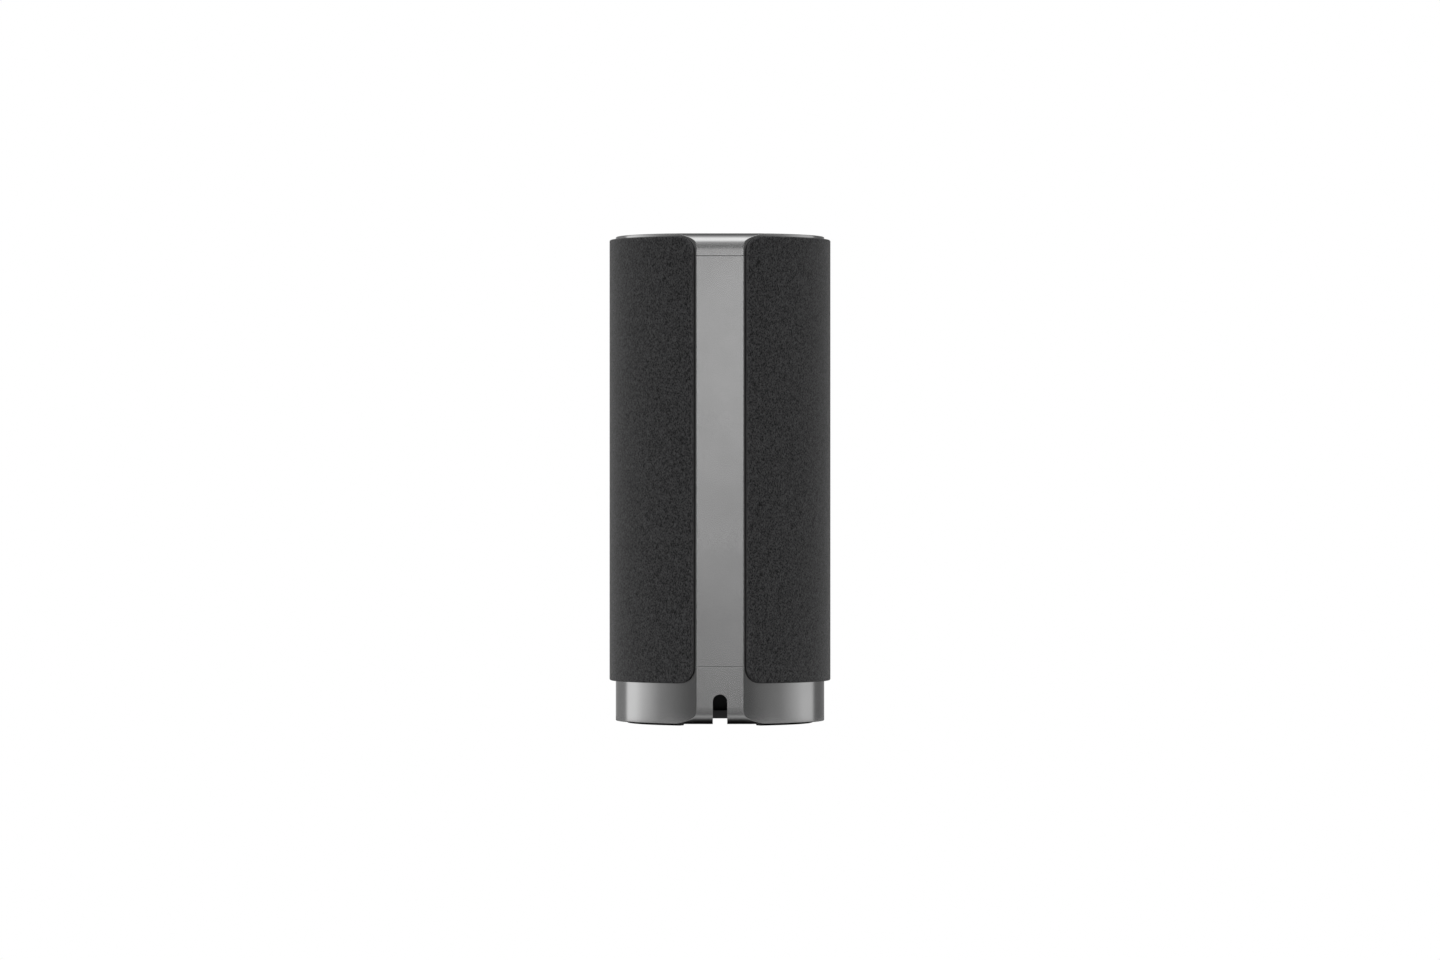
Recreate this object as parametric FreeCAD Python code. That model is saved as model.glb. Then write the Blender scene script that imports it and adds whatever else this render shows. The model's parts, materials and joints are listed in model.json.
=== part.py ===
"""Smart speaker: a cloth-wrapped round column with a flat metal spine down its back.

Millimetres, +Z up. The origin is on the table, under the column's axis. The spine faces -Y, the sound
comes out towards +Y, and +X is to the right of someone who looks at the spine.
"""
import FreeCAD, Part
import math
import os

V = FreeCAD.Vector
UP = V(0, 0, 1)

# Whole speaker
HEIGHT = 242.5
FOOT_DROP = 1.0
CORE_R = 52.1
CLEARANCE = 0.2

# Metal skin: top cap, spine and base ring
METAL_WALL = 1.8
SPINE_HALF = 11.5
SPINE_STRIP_HALF = 15.5
SPINE_ROLL_R = 4.7
SPINE_LEAD_R = 50.0
SPINE_LEAD_TURN = 4.6
RIM_CHAMFER = 0.4
SEAM_LOW = 29.2
CAP_HEIGHT = 11.3
SEAM_GAP = 0.2
TOP_FLANGE = 3.0
TOP_RIM = 8.1
BASE_LIP = 4.0
BASE_LIP_T = 2.8

# Cable slot in the base ring, and the well behind it
SLOT_WIDTH = 7.1
SLOT_TOP = 15.7
WELL_HALF = 11.0
WELL_END = 15.0
WELL_SETBACK = 3.0
WELL_WALL = 1.5
WELL_ROOF = 16.0
WELL_LIP = 1.5

# Cloth grille
CLOTH_STAND = 3.1
CLOTH_T = 0.6
CLOTH_LOW = 21.1
CLOTH_DROP = 1.5
CLOTH_CORNER_R = 8.0
CLOTH_END_ANGLE = 13.9
GRILLE_WALL = 2.2
GRILLE_COLUMNS = 20
GRILLE_ROWS = 6
GRILLE_BAR = 4.0
GRILLE_BORDER = 6.0

# Feet
FOOT_INSET = 4.6
FOOT_TAPER = 1.3
FOOT_WIDTH = 6.0
FOOT_BACK_ANGLE = 25.0
FOOT_FRONT_ANGLE = 168.0

# Base: cover, chassis, power board and its jack
COVER_RECESS = 0.3
COVER_T = 2.5
COVER_SCREW_SIDE = 18.1
COVER_SCREW_BACK = 18.0
COVER_SCREW_X = 19.0
COVER_SCREW_FRONT = 18.6
COVER_RECESS_R = 2.8
COVER_RECESS_T = 1.2
CHASSIS_T = 2.5
CHASSIS_RISE = 0.3
RING_BOSS_R = 3.2
RING_BOSS_INSET = 4.6
RING_BOSS_ANGLES = [-115, -65, 0, 90, 180]
BOARD_T = 1.6
POWER_BOARD_X = 26.0
POWER_BOARD_Y = (-36.0, 30.0)
POWER_BOARD_GAP = 1.0
POWER_BOARD_SCREWS = [(-22, -32), (22, -32), (-22, 26), (22, 26)]
JACK_AT = (0.0, -12.0)
JACK_BORE_R = 3.0
JACK_NOSE_R = 4.6
JACK_BODY_HALF = 5.5
JACK_ROOF = 0.5
PIN_R = 1.05
PIN_RECESS = 0.8

# Speaker cabinet
CABINET_GAP = 0.8
CABINET_SIDE_INSET = 14.1
CABINET_BACK_INSET = 14.1
CABINET_FRONT_INSET = 16.1
CABINET_WALL = 2.5
CABINET_DROP = 20.8
GASKET_T = 0.8
LID_T = 3.0
CABINET_BOSS_SIDE = 5.0
CABINET_BOSS_INSET = 3.0995
CABINET_BOSS_R = 3.4
CABINET_BOSS_LENGTH = 12.0

# Woofer and tweeter, on the cabinet's front
WOOFER_RISE = 70.5
WOOFER_FLANGE_R = 32.0
WOOFER_FLANGE_T = 2.5
WOOFER_HOLE_R = 29.0
BASKET_BORE_R = 26.6
BASKET_BACK_R = 19.5
MAGNET_R = 21.0
MAGNET_DEPTH = 30.5
MAGNET_T = 10.0
PLATE_T = 3.0
POLE_R = 6.8
COIL_R = 7.3
COIL_T = 0.6
CONE_R = 23.0
CONE_T = 1.2
CONE_DEPTH = 17.5
SPIDER_DEPTH = 23.5
SPIDER_R = 19.0
TWEETER_RISE = 68.0
TWEETER_FLANGE_R = 17.0
TWEETER_CAN_R = 12.5
TWEETER_DOME_R = 9.8

# Passive radiators, on the cabinet's sides
RADIATOR_RISE = 75.5
RADIATOR_HALF_Y = 24.0
RADIATOR_HALF_Z = 56.0
RADIATOR_RIM = 3.5
RADIATOR_ROLL = 5.0
RADIATOR_FRAME_T = 2.5
RADIATOR_PLATE_T = 2.2

# Main board, behind the spine
MAIN_BOARD_HALF = 26.0
MAIN_BOARD_RISE = 30.5
MAIN_BOARD_DROP = 9.2
MAIN_BOARD_STANDOFF = 3.0
FOAM_RISE = 28.5
FOAM_DROP = 15.2
BOARD_SCREW_INSET = 4.0
CARRIER_HALF = 13.5
CARRIER_LEG_X = (-9.0, -1.0)
CARRIER_T = 2.5
CARRIER_LOW_LEG = (8.5, 16.5)
CARRIER_HIGH_LEG = (6.2, 0.2)
RIBBON_X = (1.0, 11.0)
RIBBON_T = 0.25

# Top: plate, light ring, buttons and their board
CARRIER_PLATE_DROP = 16.1
CARRIER_PLATE_T = 2.5
SWITCH_BOARD_DROP = 10.6
PLATE_DROP = 4.2
PLATE_CENTRE_DROP = 2.2
PLATE_EDGE_DROP = 0.7
LIGHT_RING_WIDTH = 2.5
LIGHT_RING_DROP = 0.5
LIGHT_FLANGE_T = 2.3
CARRIER_WALL_T = 1.9
CARRIER_WALL_GAP = 0.3
BUTTON_AT = 24.0
BUTTON_R = 5.3
BUTTON_DROP = 1.0
BUTTON_LEDGE = 1.1
BUTTON_FLANGE_T = 0.9
BUTTON_GAP = 0.1
BUTTON_TRAVEL = 0.5
BUTTON_STEM_R = 1.6
SWITCH_HALF = 3.0
SWITCH_BODY = 2.4
SWITCH_ACTUATOR = 0.5
PLATE_BOSS_AT = 33.0
CAP_BOSS_INSET = 3.4
CAP_SCREW_DEPTH = 10.5
CAP_BOSS_R = 1.8
CAP_BOSS_ANGLES = [-120, -60, 0, 90, 180]
MIC_AT = 35.5
MIC_COUNT = 6
LED_COUNT = 12

# Worked out from the sizes above
FLAT_Y = -math.sqrt(CORE_R**2 - SPINE_HALF**2)
SEAM_HIGH = HEIGHT - CAP_HEIGHT
METAL_TOP_INSIDE = HEIGHT - TOP_FLANGE
TOP_OPENING_R = CORE_R - TOP_RIM
CLOTH_R = CORE_R + CLOTH_STAND
CLOTH_TOP = HEIGHT - CLOTH_DROP
FOOT_R = CORE_R - FOOT_INSET
LIP_TOP = FOOT_DROP + BASE_LIP_T
COVER_LOW = FOOT_DROP + COVER_RECESS
COVER_TOP = COVER_LOW + COVER_T
CHASSIS_TOP = SEAM_LOW + CHASSIS_RISE
CHASSIS_LOW = CHASSIS_TOP - CHASSIS_T
RING_BOSS_AT = CORE_R - RING_BOSS_INSET
POWER_BOARD_TOP = CHASSIS_LOW - POWER_BOARD_GAP
POWER_BOARD_LOW = POWER_BOARD_TOP - BOARD_T
WELL_X = WELL_HALF + WELL_WALL + CLEARANCE
WELL_TOP = WELL_ROOF + WELL_WALL
SPINE_INSIDE = FLAT_Y + METAL_WALL
CARRIER_FRONT = SPINE_INSIDE + CARRIER_T
CARRIER_PLATE_Z = HEIGHT - CARRIER_PLATE_DROP
CABINET_R = CORE_R - METAL_WALL - CABINET_GAP
CABINET_SIDE = CORE_R - CABINET_SIDE_INSET
CABINET_BACK = CABINET_BACK_INSET - CORE_R
CABINET_FRONT = CORE_R - CABINET_FRONT_INSET
CABINET_LOW = CHASSIS_TOP
CABINET_TOP = CARRIER_PLATE_Z - CABINET_DROP
COVER_SCREWS = [(x * (CORE_R - COVER_SCREW_SIDE), -COVER_SCREW_BACK) for x in (-1, 1)]
COVER_SCREWS += [(x * COVER_SCREW_X, CORE_R - COVER_SCREW_FRONT) for x in (-1, 1)]
WOOFER_Z = CABINET_LOW + WOOFER_RISE
TWEETER_Z = WOOFER_Z + TWEETER_RISE
FOAM_Z = (CABINET_LOW + FOAM_RISE, CABINET_TOP - FOAM_DROP)
RADIATOR_Z = CABINET_LOW + RADIATOR_RISE
LID_LOW = CABINET_TOP + GASKET_T
LID_TOP = LID_LOW + LID_T
MAIN_BOARD_FRONT = CABINET_BACK - MAIN_BOARD_STANDOFF
MAIN_BOARD_BACK = MAIN_BOARD_FRONT - BOARD_T
MAIN_BOARD_Z = (CABINET_LOW + MAIN_BOARD_RISE, CABINET_TOP - MAIN_BOARD_DROP)
BOARD_SCREWS = [(x * (MAIN_BOARD_HALF - BOARD_SCREW_INSET), z)
                for z in (MAIN_BOARD_Z[0] + BOARD_SCREW_INSET, MAIN_BOARD_Z[1] - BOARD_SCREW_INSET)
                for x in (-1, 1)]
CARRIER_LEGS = [(CABINET_LOW + CARRIER_LOW_LEG[0], CABINET_LOW + CARRIER_LOW_LEG[1]),
                (CABINET_TOP - CARRIER_HIGH_LEG[0], CABINET_TOP - CARRIER_HIGH_LEG[1])]
SWITCH_BOARD_Z = HEIGHT - SWITCH_BOARD_DROP
SWITCH_BOARD_TOP = SWITCH_BOARD_Z + BOARD_T
CARRIER_PLATE_TOP = CARRIER_PLATE_Z + CARRIER_PLATE_T
CAP_BOSS_AT = CORE_R - CAP_BOSS_INSET
CARRIER_WALL_R = CAP_BOSS_AT - CAP_BOSS_R - CARRIER_WALL_GAP
SWITCH_BOARD_R = CARRIER_WALL_R - CARRIER_WALL_T - CLEARANCE
CABINET_BOSS_X = CABINET_SIDE - CABINET_BOSS_SIDE
CABINET_BOSS_Y = math.sqrt((SWITCH_BOARD_R - CABINET_BOSS_INSET) ** 2 - CABINET_BOSS_X**2)
CABINET_BOSSES = [(x * CABINET_BOSS_X, y * CABINET_BOSS_Y) for y in (-1, 1) for x in (-1, 1)]
PLATE_UNDERSIDE = HEIGHT - PLATE_DROP
PLATE_CENTRE_Z = HEIGHT - PLATE_CENTRE_DROP
PLATE_EDGE_Z = HEIGHT - PLATE_EDGE_DROP
BUTTON_TOP = HEIGHT - BUTTON_DROP
BUTTON_FLANGE_R = BUTTON_R + BUTTON_LEDGE
LIGHT_RING_TOP = HEIGHT - LIGHT_RING_DROP
LIGHT_FLANGE_TOP = METAL_TOP_INSIDE - CLEARANCE
LIGHT_FLANGE_LOW = LIGHT_FLANGE_TOP - LIGHT_FLANGE_T
LIGHT_RING_R = TOP_OPENING_R - CLEARANCE
TOP_PLATE_R = LIGHT_RING_R - LIGHT_RING_WIDTH - CLEARANCE
FRAME_R = CLOTH_R - CLOTH_T
FRAME_BORE_R = FRAME_R - GRILLE_WALL
FLANGE_FRONT = CABINET_FRONT + WOOFER_FLANGE_T
MAGNET_FRONT = FLANGE_FRONT - MAGNET_DEPTH
SPIDER_BACK = FLANGE_FRONT - SPIDER_DEPTH
DEEP = 200.0


# Shapes that many pieces share

def box(x, y, z):
    """Block between a low and a high value on each axis."""
    return Part.makeBox(x[1] - x[0], y[1] - y[0], z[1] - z[0], V(x[0], y[0], z[0]))


def rod(radius, low, high, at=(0, 0)):
    """Upright cylinder."""
    return Part.makeCylinder(radius, high - low, V(at[0], at[1], low))


def tube(outer, inner, low, high, at=(0, 0)):
    """Upright tube."""
    return rod(outer, low, high, at).cut(rod(inner, low, high, at))


def rod_along_y(radius, low, high, x, z):
    """Cylinder from y = low to y = high."""
    return Part.makeCylinder(radius, high - low, V(x, low, z), V(0, 1, 0))


def outline(start, steps, place):
    """Face inside lines and arcs. A step is (to,) for a line or (via, to) for an arc."""
    edges = []
    here = place(start)
    for step in steps:
        ahead = place(step[-1])
        if len(step) == 1:
            edges.append(Part.LineSegment(here, ahead).toShape())
        else:
            edges.append(Part.Arc(here, place(step[0]), ahead).toShape())
        here = ahead
    return Part.Face(Part.Wire(edges))


def spun(start, steps, z):
    """Outline of (radius, y) pairs turned about the line along Y at height z."""
    face = outline(start, steps, lambda p: V(p[0], p[1], z))
    return face.revolve(V(0, 0, z), V(0, 1, 0), 360)


def spun_lines(points, z):
    """Straight-sided version of spun."""
    return spun(points[0], [(p,) for p in points[1:] + points[:1]], z)


def ball(radius, x, y, z):
    """Sphere whose poles lie along X, away from the stretch that a dome or a dish uses."""
    return Part.makeSphere(radius, V(x, y, z), V(1, 0, 0))


def dome_along_y(foot_r, foot_y, rise, skin, z):
    """Shell of a spherical cap that bulges towards +Y from a round foot."""
    radius = (foot_r**2 + rise**2) / (2 * rise)
    centre = foot_y + rise - radius
    shell = ball(radius, 0, centre, z).cut(ball(radius - skin, 0, centre, z))
    return shell.common(rod_along_y(foot_r + 1, foot_y, foot_y + rise + 1, 0, z))


def on_circle(radius, degrees):
    """Point (x, y) on a circle round the axis, with 0 degrees on +X."""
    turn = math.radians(degrees)
    return (radius * math.cos(turn), radius * math.sin(turn))


def without(solid, tools):
    """Solid with each tool cut away."""
    return solid.cut(Part.makeCompound(tools))


def joined(solid, others):
    """One solid from pieces that touch."""
    return solid.fuse(others).removeSplitter()


def screw(at, seat, length, head_r, shank_r, head_t, upwards):
    """Pan-head screw along Z, whose head rests on the plane z = seat."""
    way = 1 if upwards else -1
    head = Part.makeCylinder(head_r, head_t, V(at[0], at[1], seat), UP * -way)
    shank = Part.makeCylinder(shank_r, length, V(at[0], at[1], seat), UP * way)
    return joined(head, [shank])


# Outer skin

def corner_arcs(inset, sign):
    """Points of the rolled corner, from the flat inwards, for the top (sign 1) or the bottom (sign -1)."""
    turn = math.radians(SPINE_LEAD_TURN)
    gentle = SPINE_LEAD_R - inset
    tight = SPINE_ROLL_R - inset
    end = HEIGHT if sign > 0 else FOOT_DROP
    lead_z = end - sign * (SPINE_ROLL_R + (SPINE_LEAD_R - SPINE_ROLL_R) * math.sin(turn))
    lead_y = FLAT_Y + SPINE_LEAD_R
    roll_y = lead_y - (SPINE_LEAD_R - SPINE_ROLL_R) * math.cos(turn)
    roll_z = end - sign * SPINE_ROLL_R

    def at(centre_y, centre_z, radius, angle):
        return (centre_y - radius * math.cos(angle), centre_z + sign * radius * math.sin(angle))

    half_roll = (turn + math.pi / 2) / 2
    return [
        at(lead_y, lead_z, gentle, 0),
        at(lead_y, lead_z, gentle, turn / 2),
        at(lead_y, lead_z, gentle, turn),
        at(roll_y, roll_z, tight, half_roll),
        at(roll_y, roll_z, tight, math.pi / 2),
    ]


def rolled_slab(inset):
    """Slab across X whose flat back rolls over into its top and its underside."""
    top = corner_arcs(inset, 1)
    low = corner_arcs(inset, -1)
    steps = [(low[3], low[2]), (low[1], low[0]), (top[0],), (top[1], top[2]), (top[3], top[4])]
    steps += [((CORE_R, HEIGHT - inset),), ((CORE_R, FOOT_DROP + inset),), (low[4],)]
    face = outline(low[4], steps, lambda p: V(-CORE_R, p[0], p[1]))
    return face.extrude(V(2 * CORE_R, 0, 0))


def core(inset, rim_chamfer=0.0):
    """Whole metal core, moved inwards by inset: a cylinder with a flat, rolled back."""
    drum = rod(CORE_R - inset, FOOT_DROP + inset, HEIGHT - inset)
    if rim_chamfer:
        rims = [edge for edge in drum.Edges if edge.Curve.TypeId == "Part::GeomCircle"]
        drum = drum.makeChamfer(rim_chamfer, rims)
    return drum.common(rolled_slab(inset))


def flat_disc(inset, low, high):
    """Disc with the core's outline, moved inwards by inset."""
    radius = CORE_R - inset
    return rod(radius, low, high).common(box((-radius, radius), (FLAT_Y + inset, radius), (low, high)))


def layer(low, high):
    """Everything between two heights."""
    return box((-DEEP, DEEP), (-DEEP, DEEP), (low, high))


def make_top_cap():
    cavity = core(METAL_WALL).common(layer(0, METAL_TOP_INSIDE))
    opening = rod(TOP_OPENING_R, METAL_TOP_INSIDE - 1, HEIGHT + 1)
    cap = without(core(0, RIM_CHAMFER), [cavity, opening]).common(layer(SEAM_HIGH + SEAM_GAP / 2, HEIGHT))
    bosses = [
        rod(CAP_BOSS_R, CARRIER_PLATE_TOP, METAL_TOP_INSIDE + 1, on_circle(CAP_BOSS_AT, angle))
        for angle in CAP_BOSS_ANGLES
    ]
    return without(joined(cap, bosses), cap_screw_holes())


def cap_screw_holes():
    return [rod(0.85, CARRIER_PLATE_Z - 1, CARRIER_PLATE_Z + CAP_SCREW_DEPTH, on_circle(CAP_BOSS_AT, angle))
            for angle in CAP_BOSS_ANGLES]


def make_rear_spine():
    skin = core(0).cut(core(METAL_WALL))
    window = box((-SPINE_STRIP_HALF, SPINE_STRIP_HALF), (-DEEP, 0),
                 (SEAM_LOW + SEAM_GAP / 2, SEAM_HIGH - SEAM_GAP / 2))
    return skin.common(window)


def slot_cutter():
    """Arched way in for the cable, open at the bottom."""
    half = SLOT_WIDTH / 2
    shoulder = SLOT_TOP - half
    steps = [((-half, shoulder),), ((0, SLOT_TOP), (half, shoulder)), ((half, 0),), ((-half, 0),)]
    face = outline((-half, 0), steps, lambda p: V(p[0], -CORE_R - 1, p[1]))
    return face.extrude(V(0, CORE_R + 1 + FLAT_Y + BASE_LIP + 1, 0))


def make_base_ring():
    cavity = core(METAL_WALL).common(layer(LIP_TOP, DEEP))
    opening = flat_disc(BASE_LIP, 0, LIP_TOP + 1)
    ring = without(core(0, RIM_CHAMFER), [cavity, opening]).common(layer(FOOT_DROP, SEAM_LOW - SEAM_GAP / 2))
    bosses = []
    for angle in RING_BOSS_ANGLES:
        at = on_circle(RING_BOSS_AT, angle)
        bosses.append(rod(RING_BOSS_R, COVER_TOP + CLEARANCE, CHASSIS_LOW, at))
    ring = joined(ring, bosses)
    pilots = [rod(1.3, CHASSIS_LOW - 10, CHASSIS_LOW + 1, on_circle(RING_BOSS_AT, a)) for a in RING_BOSS_ANGLES]
    return without(ring, [slot_cutter()] + pilots)


# Cloth grille

def end_cutter(side, inset):
    """Removes the gap beside the spine, on one side, and rounds the shell's two corners there."""
    turn = math.radians(CLOTH_END_ANGLE)
    outward = V(side * math.sin(turn), -math.cos(turn), 0)
    along = V(side * math.cos(turn), math.sin(turn), 0)
    low = CLOTH_LOW + inset
    high = CLOTH_TOP - inset
    radius = CLOTH_CORNER_R - inset
    reach = CLOTH_R * math.sin(turn) + 1
    slant = radius * math.sqrt(0.5)
    centre = inset + radius
    steps = [
        ((centre, low - 1),),
        ((centre, low),),
        ((centre - slant, low + radius - slant), (inset, low + radius)),
        ((inset, high - radius),),
        ((centre - slant, high - radius + slant), (centre, high)),
        ((centre, high + 1),),
        ((-reach, high + 1),),
        ((-reach, low - 1),),
    ]
    foot = outward * (CORE_R - BASE_LIP)
    face = outline((-reach, low - 1), steps, lambda p: foot + along * p[0] + UP * p[1])
    return face.extrude(outward * (CLOTH_R - CORE_R + 2 * BASE_LIP))


def wrap(inner, outer, inset):
    """C-shaped shell round the front and sides, with its rims and ends moved inwards by inset."""
    shell = tube(outer, inner, CLOTH_LOW + inset, CLOTH_TOP - inset)
    for side in (-1, 1):
        shell = shell.cut(end_cutter(side, inset))
    return shell


def grille_windows():
    """Openings of the lattice: columns round the front, rows up the height."""
    margin = CLOTH_END_ANGLE + math.degrees(GRILLE_BORDER / FRAME_R)
    pitch = (360 - 2 * margin) / GRILLE_COLUMNS
    low = CLOTH_LOW + CLOTH_T + GRILLE_BORDER
    high = CLOTH_TOP - CLOTH_T - GRILLE_BORDER
    row = (high - low + GRILLE_BAR) / GRILLE_ROWS
    width = math.radians(pitch) * FRAME_BORE_R - GRILLE_BAR
    windows = []
    for column in range(GRILLE_COLUMNS):
        for level in range(GRILLE_ROWS):
            start = low + level * row
            window = box((-width / 2, width / 2), (FRAME_BORE_R - 3, FRAME_R + 3), (start, start + row - GRILLE_BAR))
            window.rotate(V(0, 0, 0), UP, 180 + margin + (column + 0.5) * pitch)
            windows.append(window)
    return windows


def make_grille_frame():
    return without(wrap(FRAME_BORE_R, FRAME_R, CLOTH_T), grille_windows())


def make_grille_cloth():
    """Cloth over the lattice, wrapped round its rims and ends."""
    return wrap(FRAME_BORE_R, CLOTH_R, 0).cut(wrap(FRAME_BORE_R - 1, FRAME_R, CLOTH_T))


# Base

def make_foot(side):
    start = math.radians(FOOT_BACK_ANGLE)
    inner = FOOT_R - FOOT_WIDTH
    points = [(inner, 0), (FOOT_R - FOOT_TAPER, 0), (FOOT_R, COVER_LOW), (inner, COVER_LOW)]
    steps = [(p,) for p in points[1:] + points[:1]]
    face = outline(points[0], steps,
                   lambda p: V(side * p[0] * math.sin(start), -p[0] * math.cos(start), p[1]))
    return face.revolve(V(0, 0, 0), UP, side * (FOOT_FRONT_ANGLE - FOOT_BACK_ANGLE))


def make_bottom_cover():
    cover = flat_disc(BASE_LIP + CLEARANCE, COVER_LOW, COVER_TOP)
    back = FLAT_Y + BASE_LIP + CLEARANCE
    hem = WELL_HALF + WELL_WALL
    frame = box((-hem, hem), (back, WELL_END + WELL_WALL), (COVER_LOW, COVER_TOP + WELL_LIP))
    way_in = box((-WELL_HALF, WELL_HALF), (back - 1, WELL_END), (0, DEEP))
    recesses = [rod(COVER_RECESS_R, 0, COVER_LOW + COVER_RECESS_T, at) for at in COVER_SCREWS]
    holes = [rod(1.3, 0, COVER_TOP + 1, at) for at in COVER_SCREWS]
    return without(joined(cover, [frame]), [way_in] + recesses + holes)


def make_cable_well():
    """Tray upside down over the way in, open to the slot and to the floor."""
    back = SPINE_INSIDE + CLEARANCE
    end = WELL_END + WELL_WALL + WELL_SETBACK
    shell = box((-WELL_X - WELL_WALL, WELL_X + WELL_WALL), (back, end + WELL_WALL), (COVER_TOP, WELL_TOP))
    hollow = box((-WELL_X, WELL_X), (back - 1, end), (0, WELL_ROOF))
    nose_hole = rod(JACK_NOSE_R + CLEARANCE, WELL_ROOF - 1, WELL_TOP + 1, JACK_AT)
    room = flat_disc(METAL_WALL + CLEARANCE, 0, DEEP)
    return without(shell, [hollow, nose_hole]).common(room)


def make_power_jack():
    x, y = JACK_AT
    half = JACK_BODY_HALF
    body = box((x - half, x + half), (y - half, y + half), (WELL_TOP, POWER_BOARD_LOW))
    nose = rod(JACK_NOSE_R, WELL_ROOF, WELL_TOP + 1, JACK_AT)
    bore = rod(JACK_BORE_R, WELL_ROOF - 1, POWER_BOARD_LOW - JACK_ROOF, JACK_AT)
    return joined(body, [nose]).cut(bore)


def make_jack_pin():
    return rod(PIN_R, WELL_ROOF + PIN_RECESS, POWER_BOARD_LOW - JACK_ROOF, JACK_AT)


def make_power_board():
    board = box((-POWER_BOARD_X, POWER_BOARD_X), POWER_BOARD_Y, (POWER_BOARD_LOW, POWER_BOARD_TOP))
    return without(board, [rod(1.15, 0, DEEP, at) for at in POWER_BOARD_SCREWS])


def make_power_components():
    """Capacitors and a choke that hang from the board, beside the cable well."""
    side = WELL_X + WELL_WALL + 5.6
    cans = [(-side, -20, 4.0, 15), (side, -20, 4.0, 15), (side, -9, 4.0, 15), (-side, -9, 4.0, 11)]
    pieces = [rod(r, POWER_BOARD_LOW - tall, POWER_BOARD_LOW, (x, y)) for x, y, r, tall in cans]
    pieces.append(box((side - 5, side + 5), (6, 18), (POWER_BOARD_LOW - 8, POWER_BOARD_LOW)))
    return Part.makeCompound(pieces)


def make_power_heatsink():
    side = WELL_X + WELL_WALL + 5.6
    block = box((-side - 5, -side + 5), (4, 22), (POWER_BOARD_LOW - 12, POWER_BOARD_LOW))
    gaps = [box((-side - 6, -side + 6), (y, y + 2), (0, POWER_BOARD_LOW - 2.5)) for y in (6, 10, 14, 18)]
    return without(block, gaps)


def make_base_chassis():
    """Plate that closes the base ring, carries the cabinet and holds the power board below it."""
    plate = flat_disc(METAL_WALL + CLEARANCE, CHASSIS_LOW, CHASSIS_TOP)
    legs = [rod(3.0, COVER_TOP, CHASSIS_LOW + 1, at) for at in COVER_SCREWS]
    pads = [rod(2.5, POWER_BOARD_TOP, CHASSIS_LOW + 1, at) for at in POWER_BOARD_SCREWS]
    chassis = joined(plate, legs + pads)
    wires = box((-6, 6), (FLAT_Y + 8, CABINET_BACK - 1), (0, DEEP))
    pilots = [rod(1.3, 0, COVER_TOP + 10, at) for at in COVER_SCREWS]
    pilots += [rod(1.05, 0, CHASSIS_TOP - 0.5, at) for at in POWER_BOARD_SCREWS]
    pilots += [rod(1.35, 0, DEEP, on_circle(RING_BOSS_AT, angle)) for angle in RING_BOSS_ANGLES]
    pilots += [rod(1.35, 0, DEEP, at) for at in CABINET_BOSSES]
    return without(chassis, [wires] + pilots)


def make_base_screws():
    """Chassis to base ring, chassis to cabinet and board to chassis."""
    ring = [screw(on_circle(RING_BOSS_AT, a), CHASSIS_TOP, 11, 2.6, 1.25, 1.6, False) for a in RING_BOSS_ANGLES]
    cabinet = [screw(at, CHASSIS_LOW, 12, 2.6, 1.25, 1.6, True) for at in CABINET_BOSSES]
    board = [screw(at, POWER_BOARD_LOW, 4.5, 2.2, 1.0, 1.4, True) for at in POWER_BOARD_SCREWS]
    return Part.makeCompound(ring + cabinet + board)


def make_bottom_screws():
    return Part.makeCompound([screw(at, COVER_LOW + COVER_RECESS_T, 10, 2.6, 1.25, 1.1, True) for at in COVER_SCREWS])


# Cabinet

def cabinet_block(inset, low, high):
    """The cabinet's cross-section, a circle with four flats, moved inwards by inset."""
    side = CABINET_SIDE - inset
    return rod(CABINET_R - inset, low, high).common(
        box((-side, side), (CABINET_BACK + inset, CABINET_FRONT - inset), (low, high)))


def stadium(half_y, half_z, low, high, z):
    """Upright slab with round ends, from x = low to x = high."""
    straight = half_z - half_y
    steps = [
        ((half_y, straight),),
        ((0, half_z), (-half_y, straight)),
        ((-half_y, -straight),),
        ((0, -half_z), (half_y, -straight)),
    ]
    face = outline((half_y, -straight), steps, lambda p: V(low, p[0], z + p[1]))
    return face.extrude(V(high - low, 0, 0))


def make_cabinet_tube():
    shell = cabinet_block(0, CABINET_LOW, CABINET_TOP)
    shell = shell.cut(cabinet_block(CABINET_WALL, CABINET_LOW + CABINET_WALL, CABINET_TOP + 1))
    floor = CABINET_LOW + CABINET_WALL - 0.5
    bosses = [rod(CABINET_BOSS_R, floor, floor + CABINET_BOSS_LENGTH, at) for at in CABINET_BOSSES]
    bosses += [rod(CABINET_BOSS_R, CABINET_TOP - CABINET_BOSS_LENGTH, CABINET_TOP, at) for at in CABINET_BOSSES]
    bosses += [rod_along_y(2.5, MAIN_BOARD_FRONT, CABINET_BACK + 1, x, z) for x, z in BOARD_SCREWS]
    shell = joined(shell, bosses)
    rim = RADIATOR_RIM
    holes = [stadium(RADIATOR_HALF_Y - rim, RADIATOR_HALF_Z - rim, -DEEP, DEEP, RADIATOR_Z)]
    holes.append(rod_along_y(WOOFER_HOLE_R, CABINET_FRONT - 16, DEEP, 0, WOOFER_Z))
    holes.append(rod_along_y(TWEETER_CAN_R + CLEARANCE, CABINET_FRONT - 16, DEEP, 0, TWEETER_Z))
    holes += [rod(1.3, 0, CABINET_LOW + 11, at) for at in CABINET_BOSSES]
    holes += [rod(1.3, CABINET_TOP - 10, DEEP * 2, at) for at in CABINET_BOSSES]
    holes += [rod_along_y(1.0, -DEEP, CABINET_BACK - 0.2, x, z) for x, z in BOARD_SCREWS]
    holes += [rod_along_y(0.95, CABINET_FRONT - 16, DEEP, x, z) for x, z in woofer_screw_places()]
    return without(shell, holes)


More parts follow.
